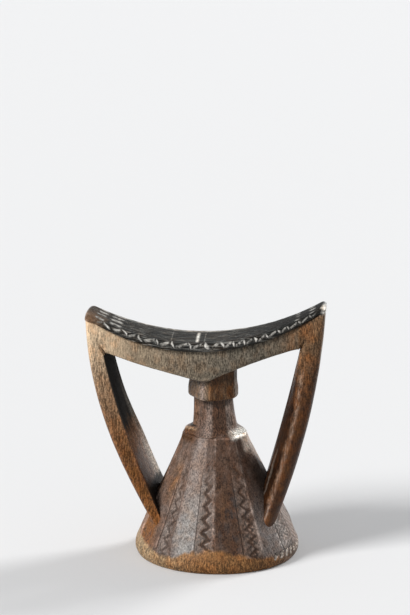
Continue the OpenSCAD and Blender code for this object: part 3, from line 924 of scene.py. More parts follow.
def paint_collar(place, colours, cloud):
    """Orange on the left face, a painted highlight on the narrow one, brown on the right."""
    x = place.part("X") + (cloud - 0.5) * 3.0
    tone = tint(colours.brown, colours.orange, x.falls(-6.0, -4.0) * 0.35)
    # Painted highlight on the narrow face
    tone = tint(tone, colours.pink, x.hump(-1.5, 4.0) * 0.9)
    tone = tint(tone, colours.orange, x.rises(1.5, 4.0))
    tone = tint(tone, colours.brown, cloud.rises(0.36, 0.70) * 0.7)
    # Painted highlight on the right edge
    tone = tint(tone, colours.pale_and_highlight, x.rises(18.0, 21.0) * 0.3)
    # Darker under the beam: grime and painted shadow
    return tint(tone, colours.umber, place.part("Z").rises(119.0, 124.0) * 0.55)


def paint_neck(place, colours, cloud):
    """Brown, grey film and painted highlight on its front left facet, dark to the right of it, lumps at its
    foot.
    """
    sizes = bpy.context.scene.headrest_sizes
    stray = cloud - 0.5
    turn = turn_field(place, (sizes.foot_x - sizes.skirt_lean) / MM - 0.6) + stray * 8.0
    z = place.part("Z")
    # Grey film, with a painted highlight where the table peaks on the front ridge
    tone = tint(colours.red, colours.pink, round_levels(turn, NECK_FILM_AND_SHEEN) * 0.85)
    tone = tint(tone, colours.orange, turn.hump(-58.0, 24.0) * 0.5)
    # Painted highlight on the right lump at the foot
    right_lump = turn.hump(72.0, 44.0) * (z + stray * 5.0).falls(86.5, 89.5)
    tone = tint(tone, colours.pale_and_highlight * 1.6, (right_lump * 1.6).at_most(1.0))
    left_side = turn.falls(-60.0, -35.0)
    tone = tint(tone, colours.orange * 0.5, z.falls(87.0, 90.0) * left_side)
    tone = tint(tone, colours.umber * 0.55, z.hump(90.2, 1.3) * left_side * 0.9)
    tone = tint(tone, colours.straw, z.hump(88.3, 1.4) * left_side * 0.45)
    # Painted shadow under the collar
    return tint(tone, colours.umber, z.rises(103.0, 108.0) * 0.4)


def skirt_stains(tone, place, turn, z, low, colours, cloud):
    """Soot, smears and rusty patches on the skirt, and the fine hatching at its right."""
    sooty = noise(place, (5.0, 5.0, 14.0), 2.0, 0.55, shift=83.0).rises(0.5, 0.66)
    tone = tint(tone, colours.soot, sooty * turn.hump(18.0, 26.0) * z.hump(36.0, 34.0) * 0.8)
    tone = tint(tone, colours.pink * 1.35, low * turn.hump(84.0, 38.0) * 0.65)
    hatch = ((z + turn * 0.55 + cloud * 3.0) / 3.4).fraction().hump(0.5, 0.3) * turn.rises(74.0, 77.0)
    hatch = hatch * turn.falls(94.0, 100.0) * z.rises(9.0, 13.0) * z.falls(28.0, 40.0)
    tone = tint(tone, colours.umber * 1.6, hatch * cloud.rises(0.3, 0.5) * 0.75)
    golden = turn.hump(-52.0, 15.0) * z.hump(54.0, 20.0) * cloud.rises(0.3, 0.6)
    tone = tint(tone, colours.ochre, golden * 0.7)
    rusty = (turn.hump(-88.0, 28.0) * 1.3).at_least(turn.hump(-66.0, 26.0) * z.falls(24.0, 38.0) * 1.6)
    tone = tint(tone, colours.orange, rusty * (0.45 + cloud.rises(0.36, 0.6) * 0.5))
    rusty_front = turn.hump(11.0, 9.0) * z.hump(42.0, 18.0) * cloud.rises(0.36, 0.54)
    return tint(tone, colours.orange, rusty_front * 0.4)


def skirt_wear(tone, place, turn, z, around, colours, cloud):
    """Rubbed ridges with painted sheen, painted shade beside the struts, the painted-lit cream facet and
    shoulder.
    """
    # Rubbed ridges, with a painted sheen on them
    ridges = turn.hump(1.6, 2.8).at_least(turn.hump(38.0, 2.6)).at_least(turn.hump(-69.0, 2.2) * 0.7)
    tone = tint(tone, colours.pink * 1.1, ridges * (cloud * 2.8 - 0.9).rises(0.0, 0.9) * 0.6)
    # Painted shade on the skirt beside the struts' roots
    darkening = turn.hump(68.0, 27.0) * z.rises(36.0, 46.0) * z.falls(62.0, 70.0)
    darkening = darkening.at_least(turn.hump(-80.0, 17.0) * z.rises(34.0, 40.0) * z.falls(50.0, 58.0))
    tone = tint(tone, colours.umber, darkening * 0.85)
    # Painted light on the facet below the shoulder on the right
    lit_cream = (around - 52.0 - (75.0 - z).at_least(0.0) * 3.6).rises(-3.0, 11.0) * turn.falls(118.0, 140.0)
    tone = tint(tone, colours.lit_cream, lit_cream * (0.5 + cloud.rises(0.3, 0.6) * 0.5))
    tone = tint(tone, colours.orange * 0.42, z.rises(78.0, 83.0) * turn.falls(-46.0, -30.0) * 0.9)
    # Painted highlight on the shoulder's ledge on the right
    patchy = noise(place, (2.2, 2.2, 2.2), 2.0, 0.6, shift=30.0).rises(0.26, 0.46)
    ledge = (z + cloud * 4.0).rises(83.6, 85.6) * round_levels(around, LEDGE_LIT) * patchy
    return tint(tone, colours.pale_and_highlight * 1.7, ledge)


def paint_skirt(place, colours, cloud):
    """Grey film over brown with a painted sheen, painted shade beside the struts, and bare golden wood along
    the rim.
    """
    stray = cloud - 0.5
    turn = turn_field(place, bpy.context.scene.headrest_sizes.foot_x / MM)
    around, far_around = turn + stray * 3.0, turn + cloud * 30.0
    z = place.part("Z")
    low = (z + stray * 20.0).falls(30.0, 60.0)
    # The film tables hold a painted sheen on the front left facet
    film_and_sheen_high, film_and_sheen_low = (round_levels(around, stops) for stops in (FILM_AND_SHEEN_HIGH, FILM_AND_SHEEN_LOW))
    film = film_and_sheen_high + (film_and_sheen_low - film_and_sheen_high) * low
    ashen = tint(colours.pink, colours.film, low * 0.6 + cloud.rises(0.35, 0.6) * 0.4)
    tone = tint(colours.red, ashen, film * 0.95 + stray * 0.5)
    # Painted sheen low on the front left facet
    tone = tint(tone, colours.pale_and_highlight, low * around.hump(-20.0, 12.0) * 0.22)
    tone = skirt_stains(tone, place, turn, z, low, colours, cloud)
    tone = skirt_wear(tone, place, turn, z, around, colours, cloud)
    edge = round_levels(turn, RIM) + stray * 5.5
    golden = tint(colours.ochre, colours.straw, round_levels(far_around, RIM_PALE))
    golden = tint(golden, colours.film, round_levels(far_around, RIM_GREY))
    tone = tint(tone, golden, (z - edge).falls(-1.6, 1.2))
    # Darker on the rim behind the right strut
    return tint(tone, tone * RIM_DARKENED, turn.hump(68.0, 24.0) * z.falls(10.0, 13.0) * z.rises(2.0, 5.0))


def finish_piece(piece, material, member, steps, height):
    """Finds the piece's wear, then puts it on the headrest's body in place of its CAD member.

    Steps is how far round a place the wear is judged, and height how far out counts as fully worn.
    """
    cut_with(piece, wear_finder(), material, Steps=steps, Height=height)
    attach(piece, BODY)
    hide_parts(member)


class Bar:
    """The bent bar of left strut, beam and right strut, whose members share their last rings."""

    below_saddle = 0.35 * MM            # how far the bar stays back from the saddle's rounded tips
    into_skirt = 0.3 * MM               # how deep the struts' lower ends sink into the skirt
    knee_section_z = 95 * MM            # height at which a strut starts to take on its section at the knee
    flare_z = (50 * MM, 26 * MM)        # heights between which the roots spread in depth
    twist_z = (112 * MM, 70 * MM)       # heights between which the left strut's inner back edge turns in
    lowest_skirt_z = 30 * MM            # about where the struts meet the skirt, for the number of rings
    halvings = 24                       # steps of the search for the line in which they meet
    limit_spread = 0.45                 # how fast the limit at the saddle's tips widens downwards
    limit_power = 10                    # how sharply the bar's edges bend in at that limit

    # Usual widths and depths of the sections, for even steps round them, and how far
    # the struts' depths run on along the beam; -1 is the left strut and 1 the right one
    strut_size = {-1: (12 * MM, 21 * MM), 1: (14 * MM, 21 * MM)}
    beam_size = (22 * MM, 22 * MM)
    blend = {-1: 16 * MM, 1: 9 * MM}

    def __init__(self, form):
        self.form = form
        s = form.s
        left, right = self.strut_size[-1], self.strut_size[1]
        self.low = {-1: rounded(LEFT_SECTION, *left), 1: rounded(RIGHT_SECTION, *right)}
        self.top = {-1: self.low[-1], 1: rounded(RIGHT_TOP_SECTION, *right)}
        self.middle = rounded(BEAM_SECTION, *self.beam_size)
        self.knee = {-1: s.beam_left, 1: s.beam_right}
        self.flare = {-1: s.root_flare, 1: s.root_flare_right}
        self.twist = {-1: s.twist, 1: 0}
        self.softened = 0.3 * s.corner_round

    def half(self, x, z):
        """Half depth of the whole bar at each place in its side view."""
        form = self.form
        side = np.where(x < 0, -1, 1)
        total = np.zeros(np.broadcast(x, z).shape)
        beam = form.half_depth(x) - form.s.beam_step
        for way in (-1, 1):
            strut = form.strut_lines(way, z)[2]
            onto_beam = ease(self.knee[way] - way * x, 0, self.blend[way])
            total = np.where(side == way, mix(strut, beam, onto_beam), total)
        return total

    def within_saddle(self, x, y, z):
        """Draws the top of the bar in under the saddle's rounded tips."""
        form, s = self.form, self.form.s
        x_in = np.clip(x, -s.half_length + 0.1 * MM, s.half_length - 0.1 * MM)
        limit = form.half_depth(x_in) - form.tip_drop(x_in) - self.below_saddle
        limit = limit + self.limit_spread * np.maximum(0, form.line_z(x_in) - z)
        return y / (1 + (np.abs(y) / limit) ** self.limit_power) ** (1 / self.limit_power)

    def points(self, x, q, z):
        """Places on the bar, q being the share of the half depth that they reach."""
        y = self.within_saddle(x, q * self.half(x, z), z)
        return places(x, y, z)

    def beam(self):
        """Rings along the beam, from corner to corner."""
        form, s = self.form, self.form.s
        x = stations(-self.knee[-1] + s.corner_round, self.knee[1] - s.corner_round, s.mesh_step)[:, None]
        t, q = self.middle.T
        soft = sum(self.softened * np.clip(1 - np.abs(x - end) / s.corner_round, 0, 1) ** 2
                   for end in (x[0], x[-1]))
        return self.points(x, q, mix(form.under_z(x) - soft, form.line_z(x), t))

    def corner(self, side):
        """Rings that fan round the inner corner, from across the strut to across the beam."""
        form, s = self.form, self.form.s
        end = side * (self.knee[side] - s.corner_round)
        corner_x = side * self.knee[side]
        corner_z = form.under_z(corner_x)
        low_z = corner_z - s.corner_round
        zs = stations(low_z, form.line_z(side * s.half_length), s.mesh_step)
        wall = np.stack([side * form.strut_lines(side, zs)[1], zs], 1)
        xs = side * stations(abs(end), s.half_length, s.mesh_step)[::-1]
        lid = np.stack([xs, form.line_z(xs)], 1)
        path = np.vstack([wall, lid[1:]])
        run = run_along(path)
        at = stations(0, run[-1], s.mesh_step)
        outer = np.stack([np.interp(at, run, path[:, k]) for k in (0, 1)], 1)[:, None, :]
        u = (at / run[-1])[:, None]
        first = np.array([side * form.strut_lines(side, low_z)[0], low_z])
        last = np.array([end, form.under_z(end) - self.softened])
        knee = np.array([corner_x, corner_z])
        inner = (first * (1 - u) ** 2 + 2 * knee * u * (1 - u) + last * u ** 2)[:, None, :]
        section = mix(self.top[side][None], self.middle[None], ease(u, 0.0, 1.0)[..., None])
        flat = inner + (outer - inner) * section[..., :1]
        return self.points(flat[..., 0], section[..., 1], flat[..., 1])

    def strut_surface(self, side, z):
        """Places on a strut at the heights z, one for each line of its surface."""
        corner_z = self.form.under_z(side * self.knee[side]) - self.form.s.corner_round
        up = ease(z, self.knee_section_z, corner_z)[..., None]
        t, q = np.moveaxis(mix(self.low[side], self.top[side], up), -1, 0)
        inner, outer, half = self.form.strut_lines(side, z)
        root = ease(z, *self.flare_z) * self.flare[side]
        back = ease(z, *self.twist_z) * np.maximum(q, 0) * (1 - t) * self.twist[side]
        x = side * (mix(inner, outer, t) - back)
        return places(x, self.within_saddle(x, q * (half + root), z), z)

    def outside_skirt(self, side, z):
        """How far a strut's surface at the heights z stands out of the skirt."""
        at = self.strut_surface(side, z)
        dx, dy = at[..., 0] - self.form.axis_x(z), at[..., 1]
        return np.hypot(dx, dy) - self.form.skirt_surface_r(z, np.arctan2(dx, -dy)) + self.into_skirt

    def strut(self, side):
        """Rings up a strut: each line of the surface starts where it leaves the skirt."""
        s = self.form.s
        corner_z = self.form.under_z(side * self.knee[side]) - s.corner_round
        low, high = np.full(RING_POINTS, s.foot_h + 1 * MM), np.full(RING_POINTS, float(corner_z))
        for _ in range(self.halvings):
            middle = (low + high) / 2
            inside = self.outside_skirt(side, middle) < 0
            low, high = np.where(inside, middle, low), np.where(inside, high, middle)
        rows = stations(0, 1, s.mesh_step / (corner_z - self.lowest_skirt_z))[:, None]
        return self.strut_surface(side, mix(high[None, :], corner_z, rows))

    def member(self, side):
        """A whole strut, from the skirt to the ring that it shares with the beam."""
        lower, upper = self.strut(side), self.corner(side)
        return np.concatenate([lower, upper[1:]])

    def shares(self, side, rows):
        """How far each point of a strut lies from its inner face (0) to its outer face (1)."""
        fan = np.clip((np.arange(rows) - (rows - len(self.corner(side)))) / 12, 0, 1)[:, None]
        return np.maximum(self.low[side][:, 0], 0.2 * fan)


class HEADREST_OT_saddle(bpy.types.Operator):
    """Carve the saddle: its blackened resting face, the chipped bevel and the end strokes"""
    bl_idname = "headrest.saddle"
    bl_label = "Saddle"

    # Columns of the mesh over the lip, the bevel, half of the resting face and the underside
    lip_columns, bevel_columns, face_columns, under_columns = 2, 17, 34, 8
    row_step = 0.42 * MM

    wrap_length = 6 * MM                # how far in from the tips the saddle reaches down over the struts
    tip_shares = (0.55, 0.95)           # how much of the tips' rounding the top takes, left and right
    least_bevel = 0.5 * MM              # height that the bevel keeps above the lip
    bevel_bulge = 0.3 * MM              # how far the bevel bulges in its middle

    # Rows of strokes across the ends: place along the saddle, half width and strength
    end_rows = ((-71.5 * MM, 3 * MM, 1), (-61 * MM, 4 * MM, 1),
                (62 * MM, 3 * MM, 0.45), (72 * MM, 3.4 * MM, 0.55))

    def surface(self, s, form, x):
        """Across each place along the saddle: over the front lip, the top and the back, then under it."""
        depth = form.half_depth(x) - form.tip_drop(x)
        wrapped = ease(np.abs(x), s.half_length - self.wrap_length, s.half_length)
        low = form.line_z(x) - s.tip_wrap * wrapped
        rounding = mix(*self.tip_shares, ease(x, -10 * MM, 10 * MM))
        top = np.maximum(form.rest_z(x) - form.tip_drop(x) * rounding, low + s.lip + self.least_bevel)
        lip = np.linspace(0, 1, self.lip_columns, endpoint=False)[None, :]
        slope = np.linspace(0, 1, self.bevel_columns, endpoint=False)[None, :]
        face = np.linspace(0, 1, self.face_columns)[None, :]
        under = np.linspace(1, -1, self.under_columns + 2)[None, 1:-1]
        bevel_z = mix(low + s.lip, top, slope) + self.bevel_bulge * np.sin(math.pi * slope)
        y = np.concatenate([-depth + 0 * lip, -depth + s.bevel * slope, (s.bevel - depth) * (1 - face)], 1)
        z = np.concatenate([low + s.lip * lip, bevel_z, top + s.crown * (1 - (1 - face) ** 2)], 1)
        y = np.concatenate([y, -y[:, -2::-1], depth * under], 1)
        z = np.concatenate([z, z[:, -2::-1], low + 0 * under], 1)
        return places(x, y, z)

    def execute(self, context):
        s, c = context.scene.headrest_sizes, context.scene.headrest_carving
        form = Form(s)
        x = stations(-s.half_length, s.half_length, self.row_step)[:, None]
        grid = self.surface(s, form, x)
        y = grid[..., 1]
        ends = np.clip((s.half_length - np.abs(x)) / (1 * MM), 0, 1)
        top_side = np.zeros(y.shape)
        top_side[:, self.lip_columns:-self.lip_columns - self.under_columns] = 1
        grid = hewn(grid, s.hewn, ends * top_side)
        on_top = top_side * ease(ends, 0, 1)

        # The chips crowd, shrink and grow shallower towards the right
        across = (form.half_depth(x) - np.abs(y)) / s.bevel
        crowded = np.maximum(x - c.chip_tight_x, 0) * (c.chip_pitch / c.chip_pitch_tight - 1)
        squeeze = 0.86 + 0.3 * ease(x, 5 * MM, 35 * MM)
        shallow = 1 - 0.35 * ease(x, 25 * MM, 60 * MM)
        in_band = on_top * ease(-x, 76 * MM, 67 * MM) * ease(x, 76 * MM, 70 * MM)
        end_rows = sum(strength * hump(x, at, wide) for at, wide, strength in self.end_rows)
        piece = solid("saddle_wood", grid, {
            "across": across * squeeze, "run": x + crowded, "breadth": s.bevel * 1.33 / squeeze,
            "cut": in_band * ease(across, 1.45, 1.25) * shallow, "edged": in_band,
            "seam": ease(across, 0.14, 0.04), "stroke_run": y,
            "stroke_cut": on_top * end_rows * ease(across, 0.7, 1.1)})
        material = wood("saddle wood", paint_saddle, grain=LENGTHWISE, streak=2.6, gloss=0.6, shine=0.04,
                        bump=0.3, pale_and_glint_level=1.0, polish=0.6)
        cut_with(piece, zigzag_cutter(), material, Pitch=c.chip_pitch, Steep_Share=0.34, Middle=0.38,
                 Reach=0.31, Groove_Width=c.chip_width, Groove_Depth=c.chip_depth,
                 Border_Width=c.lip_line_width, Border_Depth=c.lip_line_depth, Chips=1.0, Seed=c.seed)
        cut_with(piece, stroke_cutter(), material, Pitch=c.stroke_pitch, Stroke_Width=c.stroke_width,
                 Depth=c.stroke_depth, Seed=c.seed)
        finish_piece(piece, material, "saddle", steps=8, height=0.22 * MM)
        return {"FINISHED"}


class HEADREST_OT_frame(bpy.types.Operator):
    """Carve the beam and the two bowed struts that run out of it"""
    bl_idname = "headrest.frame"
    bl_label = "Beam and struts"

    def execute(self, context):
        s = context.scene.headrest_sizes
        bar = Bar(Form(s))
        left, beam, right = bar.member(-1), bar.beam(), bar.member(1)
        whole = hewn(np.concatenate([left[:-1], beam, right[-2::-1]]), s.hewn)
        first, last = len(left) - 1, len(left) - 1 + len(beam)
        left_shares, right_shares = bar.shares(-1, first + 1), bar.shares(1, len(whole) - last + 1)[::-1]
        beam_shares = np.zeros((last - first, RING_POINTS))
        self.carve(bar, "left_strut", "strut_wood", whole[:first + 1], left_shares, paint_left_strut,
                   gloss=0.48, streak=("Z", ((125, 5.8), (160, 2.0))))
        self.carve(bar, "beam", "beam_wood", whole[first:last], beam_shares, paint_beam,
                   gloss=0.55, streak=("X", ((-65, 1.8), (-35, 3.2), (-5, 4.6))))
        self.carve(bar, "right_strut", "strut_wood", whole[last - 1:], right_shares, paint_right_strut,
                   gloss=0.34, streak=("Z", ((90, 2.4), (130, 5.2))))
        return {"FINISHED"}

    def carve(self, bar, name, slot, grid, shares, paint, **finish):
        """One member of the bar, with its marks: the line under the lip, its seams and its inner face."""
        half_length = bar.form.s.half_length
        x, z = grid[..., 0], grid[..., 2]
        from_saddle = np.abs(z - bar.form.line_z(np.clip(x, -half_length, half_length)))
        under_lip = ease(from_saddle, 1 * MM, 0.3 * MM) * ease(x, -70 * MM, -62 * MM)
        rings = np.arange(len(grid))
        seam = np.zeros(len(grid))
        if name != "right_strut":
            seam = np.maximum(seam, ease(rings[::-1], 5, 2))
        if name != "left_strut":
            seam = np.maximum(seam, ease(rings, 5, 2))
        inner_face = ease(shares, 0.06, 0.02) * (name != "beam") * ease(z, 60 * MM, 90 * MM)
        piece = solid(name + "_wood", grid, {
            "share": shares, "groove": under_lip * 0.9, "seam": seam[:, None], "matte": inner_face})
        material = wood(name.replace("_", " ") + " wood", paint, shine=0.1, **finish)
        finish_piece(piece, material, name, steps=6, height=0.5 * MM)


class HEADREST_OT_collar(bpy.types.Operator):
    """Carve the collar: a turned square with its corners cut off"""
    bl_idname = "headrest.collar"
    bl_label = "Collar"

    # A wide and a narrow face in each quarter, as the turn of its middle and half the turn over it
    faces = ((-13.5, 12.5), (31.5, 32.5))
    softness = 0.022
    low_inset, high_inset = 2.1 * MM, 0.9 * MM

    # Rings up the rounded lower edge, which takes this share of the height, and up the rest
    edge_share, edge_rings, side_rings = 0.18, 11, 34

    def execute(self, context):
        s = context.scene.headrest_sizes
        form = Form(s)
        turn = np.linspace(0, 2 * math.pi, TURN_COLUMNS, endpoint=False)
        reach = soft_least([face_reach(turn, math.radians(quarter * 90 + middle), math.radians(half))
                            for quarter in range(4) for middle, half in self.faces], self.softness)
        edge = np.linspace(0, self.edge_share, self.edge_rings, endpoint=False)
        up = np.concatenate([edge, np.linspace(self.edge_share, 1, self.side_rings)])[:, None]
        top = form.under_z(s.collar_x + s.collar_half_width * reach * np.sin(turn)) + 0.5 * MM
        z = s.collar_z + (top - s.collar_z) * up
        low = np.clip((z - s.collar_z) / s.collar_edge, 0, 1)
        inset = self.low_inset * (1 - np.sqrt(1 - (1 - low) ** 2))
        inset = inset + self.high_inset * ease(z, s.collar_z + 6 * MM, s.keel_z)
        x = s.collar_x + (s.collar_half_width - inset) * reach * np.sin(turn)
        y = -(s.collar_half_depth - inset) * reach * np.cos(turn)
        piece = solid("collar_wood", hewn(places(x, y, z), s.hewn * 0.8))
        material = wood("collar wood", paint_collar, streak=5.2, gloss=0.42, crackle=0.3)
        finish_piece(piece, material, "collar", steps=6, height=0.4 * MM)
        return {"FINISHED"}


class HEADREST_OT_neck(bpy.types.Operator):
    """Carve the hollowed neck between the collar and the shoulder"""
    bl_idname = "headrest.neck"
    bl_label = "Neck"

    # The lumps at its foot: turn in degrees, spread in radians, height, and how steeply they end above
    lumps = ((88, 0.62, 3.3 * MM, 3), (277, 0.42, 4.6 * MM, 8))

    hollow = 1.6                        # how much the neck is hollowed, 1 for a straight cone
    fillet, fillet_rise = 0.8 * MM, 1.2 * MM
    run_on_rise = 4.5 * MM              # height over which the run-on at the front fades out
    into_collar = 0.2 * MM

    def execute(self, context):
        s = context.scene.headrest_sizes
        form = Form(s)
        turn = np.linspace(0, 2 * math.pi, TURN_COLUMNS, endpoint=False)[None, :]
        z = stations(s.shoulder_z, s.collar_z, 0.5 * MM)[:, None]
        over = z - s.shoulder_z
        up = over / (s.collar_z - s.shoulder_z)
        radius = mix(s.neck_foot, s.neck_top, 1 - (1 - up) ** self.hollow)
        radius = radius + self.fillet * np.exp(-over / self.fillet_rise)
        run_on = s.run_on * (hump(turn, math.radians(-10), 0.6) + hump(turn, math.radians(350), 0.6))
        lumps = sum(hump(turn, math.radians(at), spread) * np.exp(-(over / height) ** steep)
                    for at, spread, height, steep in self.lumps)
        swelling = run_on * np.exp(-over / self.run_on_rise) + s.shoulder_lump * lumps
        radius = form.panelled(radius + 0 * turn, turn, s.panel_flat, 0.3 * MM) + swelling
        x = form.axis_x(s.shoulder_z) - s.neck_lean * up + radius * np.sin(turn)
        grid = hewn(places(x, -radius * np.cos(turn), z), s.hewn)
        grid[0, :, 2], grid[-1, :, 2] = s.shoulder_z, s.collar_z + self.into_collar
        piece = solid("neck_wood", grid)
        material = wood("neck wood", paint_neck, streak=6.0, gloss=0.42, crackle=0.5)
        finish_piece(piece, material, "neck", steps=6, height=0.4 * MM)
        return {"FINISHED"}


class HEADREST_OT_skirt(bpy.types.Operator):
    """Carve the panelled skirt with its zigzag bands, and the worn foot below it"""
    bl_idname = "headrest.skirt"
    bl_label = "Skirt and foot"

    # Columns of the mesh across a plain panel and its band, and rings round the edge and on the ledge
    panel_columns, band_columns = 20, 30
    edge_rings, ledge_rings = 6, 8

    # Where the flare swells or is worn in: by how much, its turn in degrees and spread in radians,
    # its height and spread in height
    swellings = ((0.7 * MM, -82, 0.4, 84 * MM, 4 * MM), (-0.9 * MM, 90, 0.5, 78 * MM, 10 * MM))

    ground_inset = 0.8 * MM             # how far the foot's edge is broken at the ground
    under_neck = 1.5 * MM               # how far the ledge runs in below the neck

    # Heights between which the carving fades in or out, the first with the full carving
    bands_end_z, strong_z = (62 * MM, 80 * MM), (45 * MM, 70 * MM)
    nested_z, crossed_z, notched_z = (36 * MM, 46 * MM), (30 * MM, 36 * MM), (6.4 * MM, 4.4 * MM)

    # Turns between which the rim is notched, each from no notches to full ones
    notched_from, notched_to = (44, 52), (98, 88)

    def turns(self, carving):
        """Turns of the columns, closer together in the carved bands."""
        columns, across = [], []
        for left, right in PANELS:
            band = right - carving.band_angle
            plain = np.linspace(left, band, self.panel_columns, endpoint=False)
            carved = np.linspace(band, right, self.band_columns, endpoint=False)
            columns += [plain, carved]
            across += [(plain - band) / carving.band_angle, (carved - band) / carving.band_angle]
        return np.concatenate(columns), np.concatenate(across)

    def surface(self, s, form, turn, foot_z):
        """Rings up the foot and the flare, round the shoulder's edge and in over its ledge."""
        flare_z = stations(s.foot_h, s.shoulder_z - s.shoulder_round, 0.46 * MM)[1:]
        z = np.concatenate([foot_z, flare_z])[:, None]
        radius = form.skirt_surface_r(z, turn[None, :])
        for size, at, spread, height, rise in self.swellings:
            radius = radius + size * hump(turn, math.radians(at), spread) * hump(z, height, rise)
        radius[0] -= self.ground_inset
        bend = np.linspace(0, math.pi / 2, self.edge_rings + 1)[1:, None]
        bend_r = radius[-1] - s.shoulder_round * (1 - np.cos(bend))
        bend_z = s.shoulder_z - s.shoulder_round * (1 - np.sin(bend))
        ledge = np.linspace(0, 1, self.ledge_rings + 1)[1:, None]
        radius = np.concatenate([radius, bend_r, mix(bend_r[-1], s.neck_foot - self.under_neck, ledge)])
        z = np.concatenate([z, bend_z, np.full((self.ledge_rings, 1), s.shoulder_z)])
        x = form.axis_x(z) + radius * np.sin(turn)
        sides = np.ones(z.shape)
        sides[0] = 0
        sides[-self.ledge_rings:] = 0.3
        grid = hewn(places(x, -radius * np.cos(turn), z), s.hewn, sides)
        grid[..., 2] = np.clip(grid[..., 2], 0, s.shoulder_z)
        grid[0, :, 2] = 0
        return grid, radius, z

    def execute(self, context):
        s, c = context.scene.headrest_sizes, context.scene.headrest_carving
        turn, across = self.turns(c)
        foot_z = stations(0, s.foot_h, 0.5 * MM)
        grid, radius, z = self.surface(s, Form(s), turn, foot_z)
        self.carve_foot(grid[:len(foot_z)], turn, foot_z, s, c)
        self.carve_skirt(*(part[len(foot_z) - 1:] for part in (grid, radius, z)), turn, across, s, c)
        return {"FINISHED"}

    def carve_skirt(self, grid, radius, z, turn, across, s, c):
        """The flare with its bands, which end above the worn wood of the rim."""
        def faded(heights):
            full, gone = heights
            return ease(z, gone, full)

        bare = np.interp(np.degrees((turn + math.pi) % (2 * math.pi) - math.pi), *zip(*RIM)) * MM
        band = np.searchsorted(RIDGES, turn) % len(RIDGES)
        cut = ease(z, bare - 3 * MM, bare) * faded(self.bands_end_z) * ease(across, -0.35, -0.2)
        cut = cut * np.where(band == NESTED, faded(self.nested_z), 1) * mix(0.3, 1, faded(self.strong_z))
        by_crease = sum(hump(turn, RIDGES[k], math.radians(2.2)) for k in CREASED)
        front = ease(turn, math.radians(30), math.radians(10))
        front = front * ease(z, s.shoulder_z - 4 * MM, s.shoulder_z - 2 * MM)
        seam = np.maximum(ease(z, 12.2 * MM, 11 * MM), front * 0.8)
        piece = solid("skirt_wood", grid, {
            "across": across, "run": z, "breadth": radius * c.band_angle,
            "cut": cut * np.array(BAND_DEPTHS)[band], "edged": cut, "crease": np.isin(band, CREASED),
            "nested": band == NESTED, "crossed": (band == CROSSED) * faded(self.crossed_z),
            "seam": np.maximum(seam, by_crease * ease(z, 66 * MM, 50 * MM))})
        material = wood("skirt wood", paint_skirt, streak=3.2, gloss=0.5, carved=0.42, worn=0.8, darkening=0.4,
                        pale_and_glint_level=0.35, crackle=0.45)
        cut_with(piece, zigzag_cutter(), material, Pitch=c.zigzag_pitch, Steep_Share=0.5, Middle=0.57,
                 Reach=0.2, Groove_Width=c.zigzag_width, Groove_Depth=c.zigzag_depth,
                 Border_Width=c.border_width, Border_Depth=c.border_depth, Seed=c.seed + 2)
        finish_piece(piece, material, "skirt", steps=10, height=0.22 * MM)

    def carve_foot(self, grid, turn, foot_z, s, c):
        """The rim below the skirt, with short notches on its right that carry painted glints."""
        z = foot_z[:, None]
        full, gone = self.notched_z
        span = ease(turn, *np.radians(self.notched_from)) * ease(turn, *np.radians(self.notched_to))
        piece = solid("foot_wood", grid, {
            "seam": ease(z, 7.8 * MM, 9 * MM), "stroke_run": turn * s.foot_r - 0.35 * z,
            "stroke_cut": span * ease(z, gone, full)})
        # Warm white painted glints in the notches
        material = wood("foot wood", paint_skirt, streak=6.0, gloss=0.65, carved=1.0, pale_and_glint_level=1.95,
                        pale_and_glint_tone=(1.0, 0.90, 0.84))
        cut_with(piece, stroke_cutter(), material, Pitch=c.notch_pitch, Stroke_Width=c.notch_width,
                 Depth=c.notch_depth, Darkness=2.2, Glint=2.4, Glint_Width=0.27, Glint_Length=2.0,
                 Seed=c.seed)
        finish_piece(piece, material, "foot", steps=6, height=0.35 * MM)


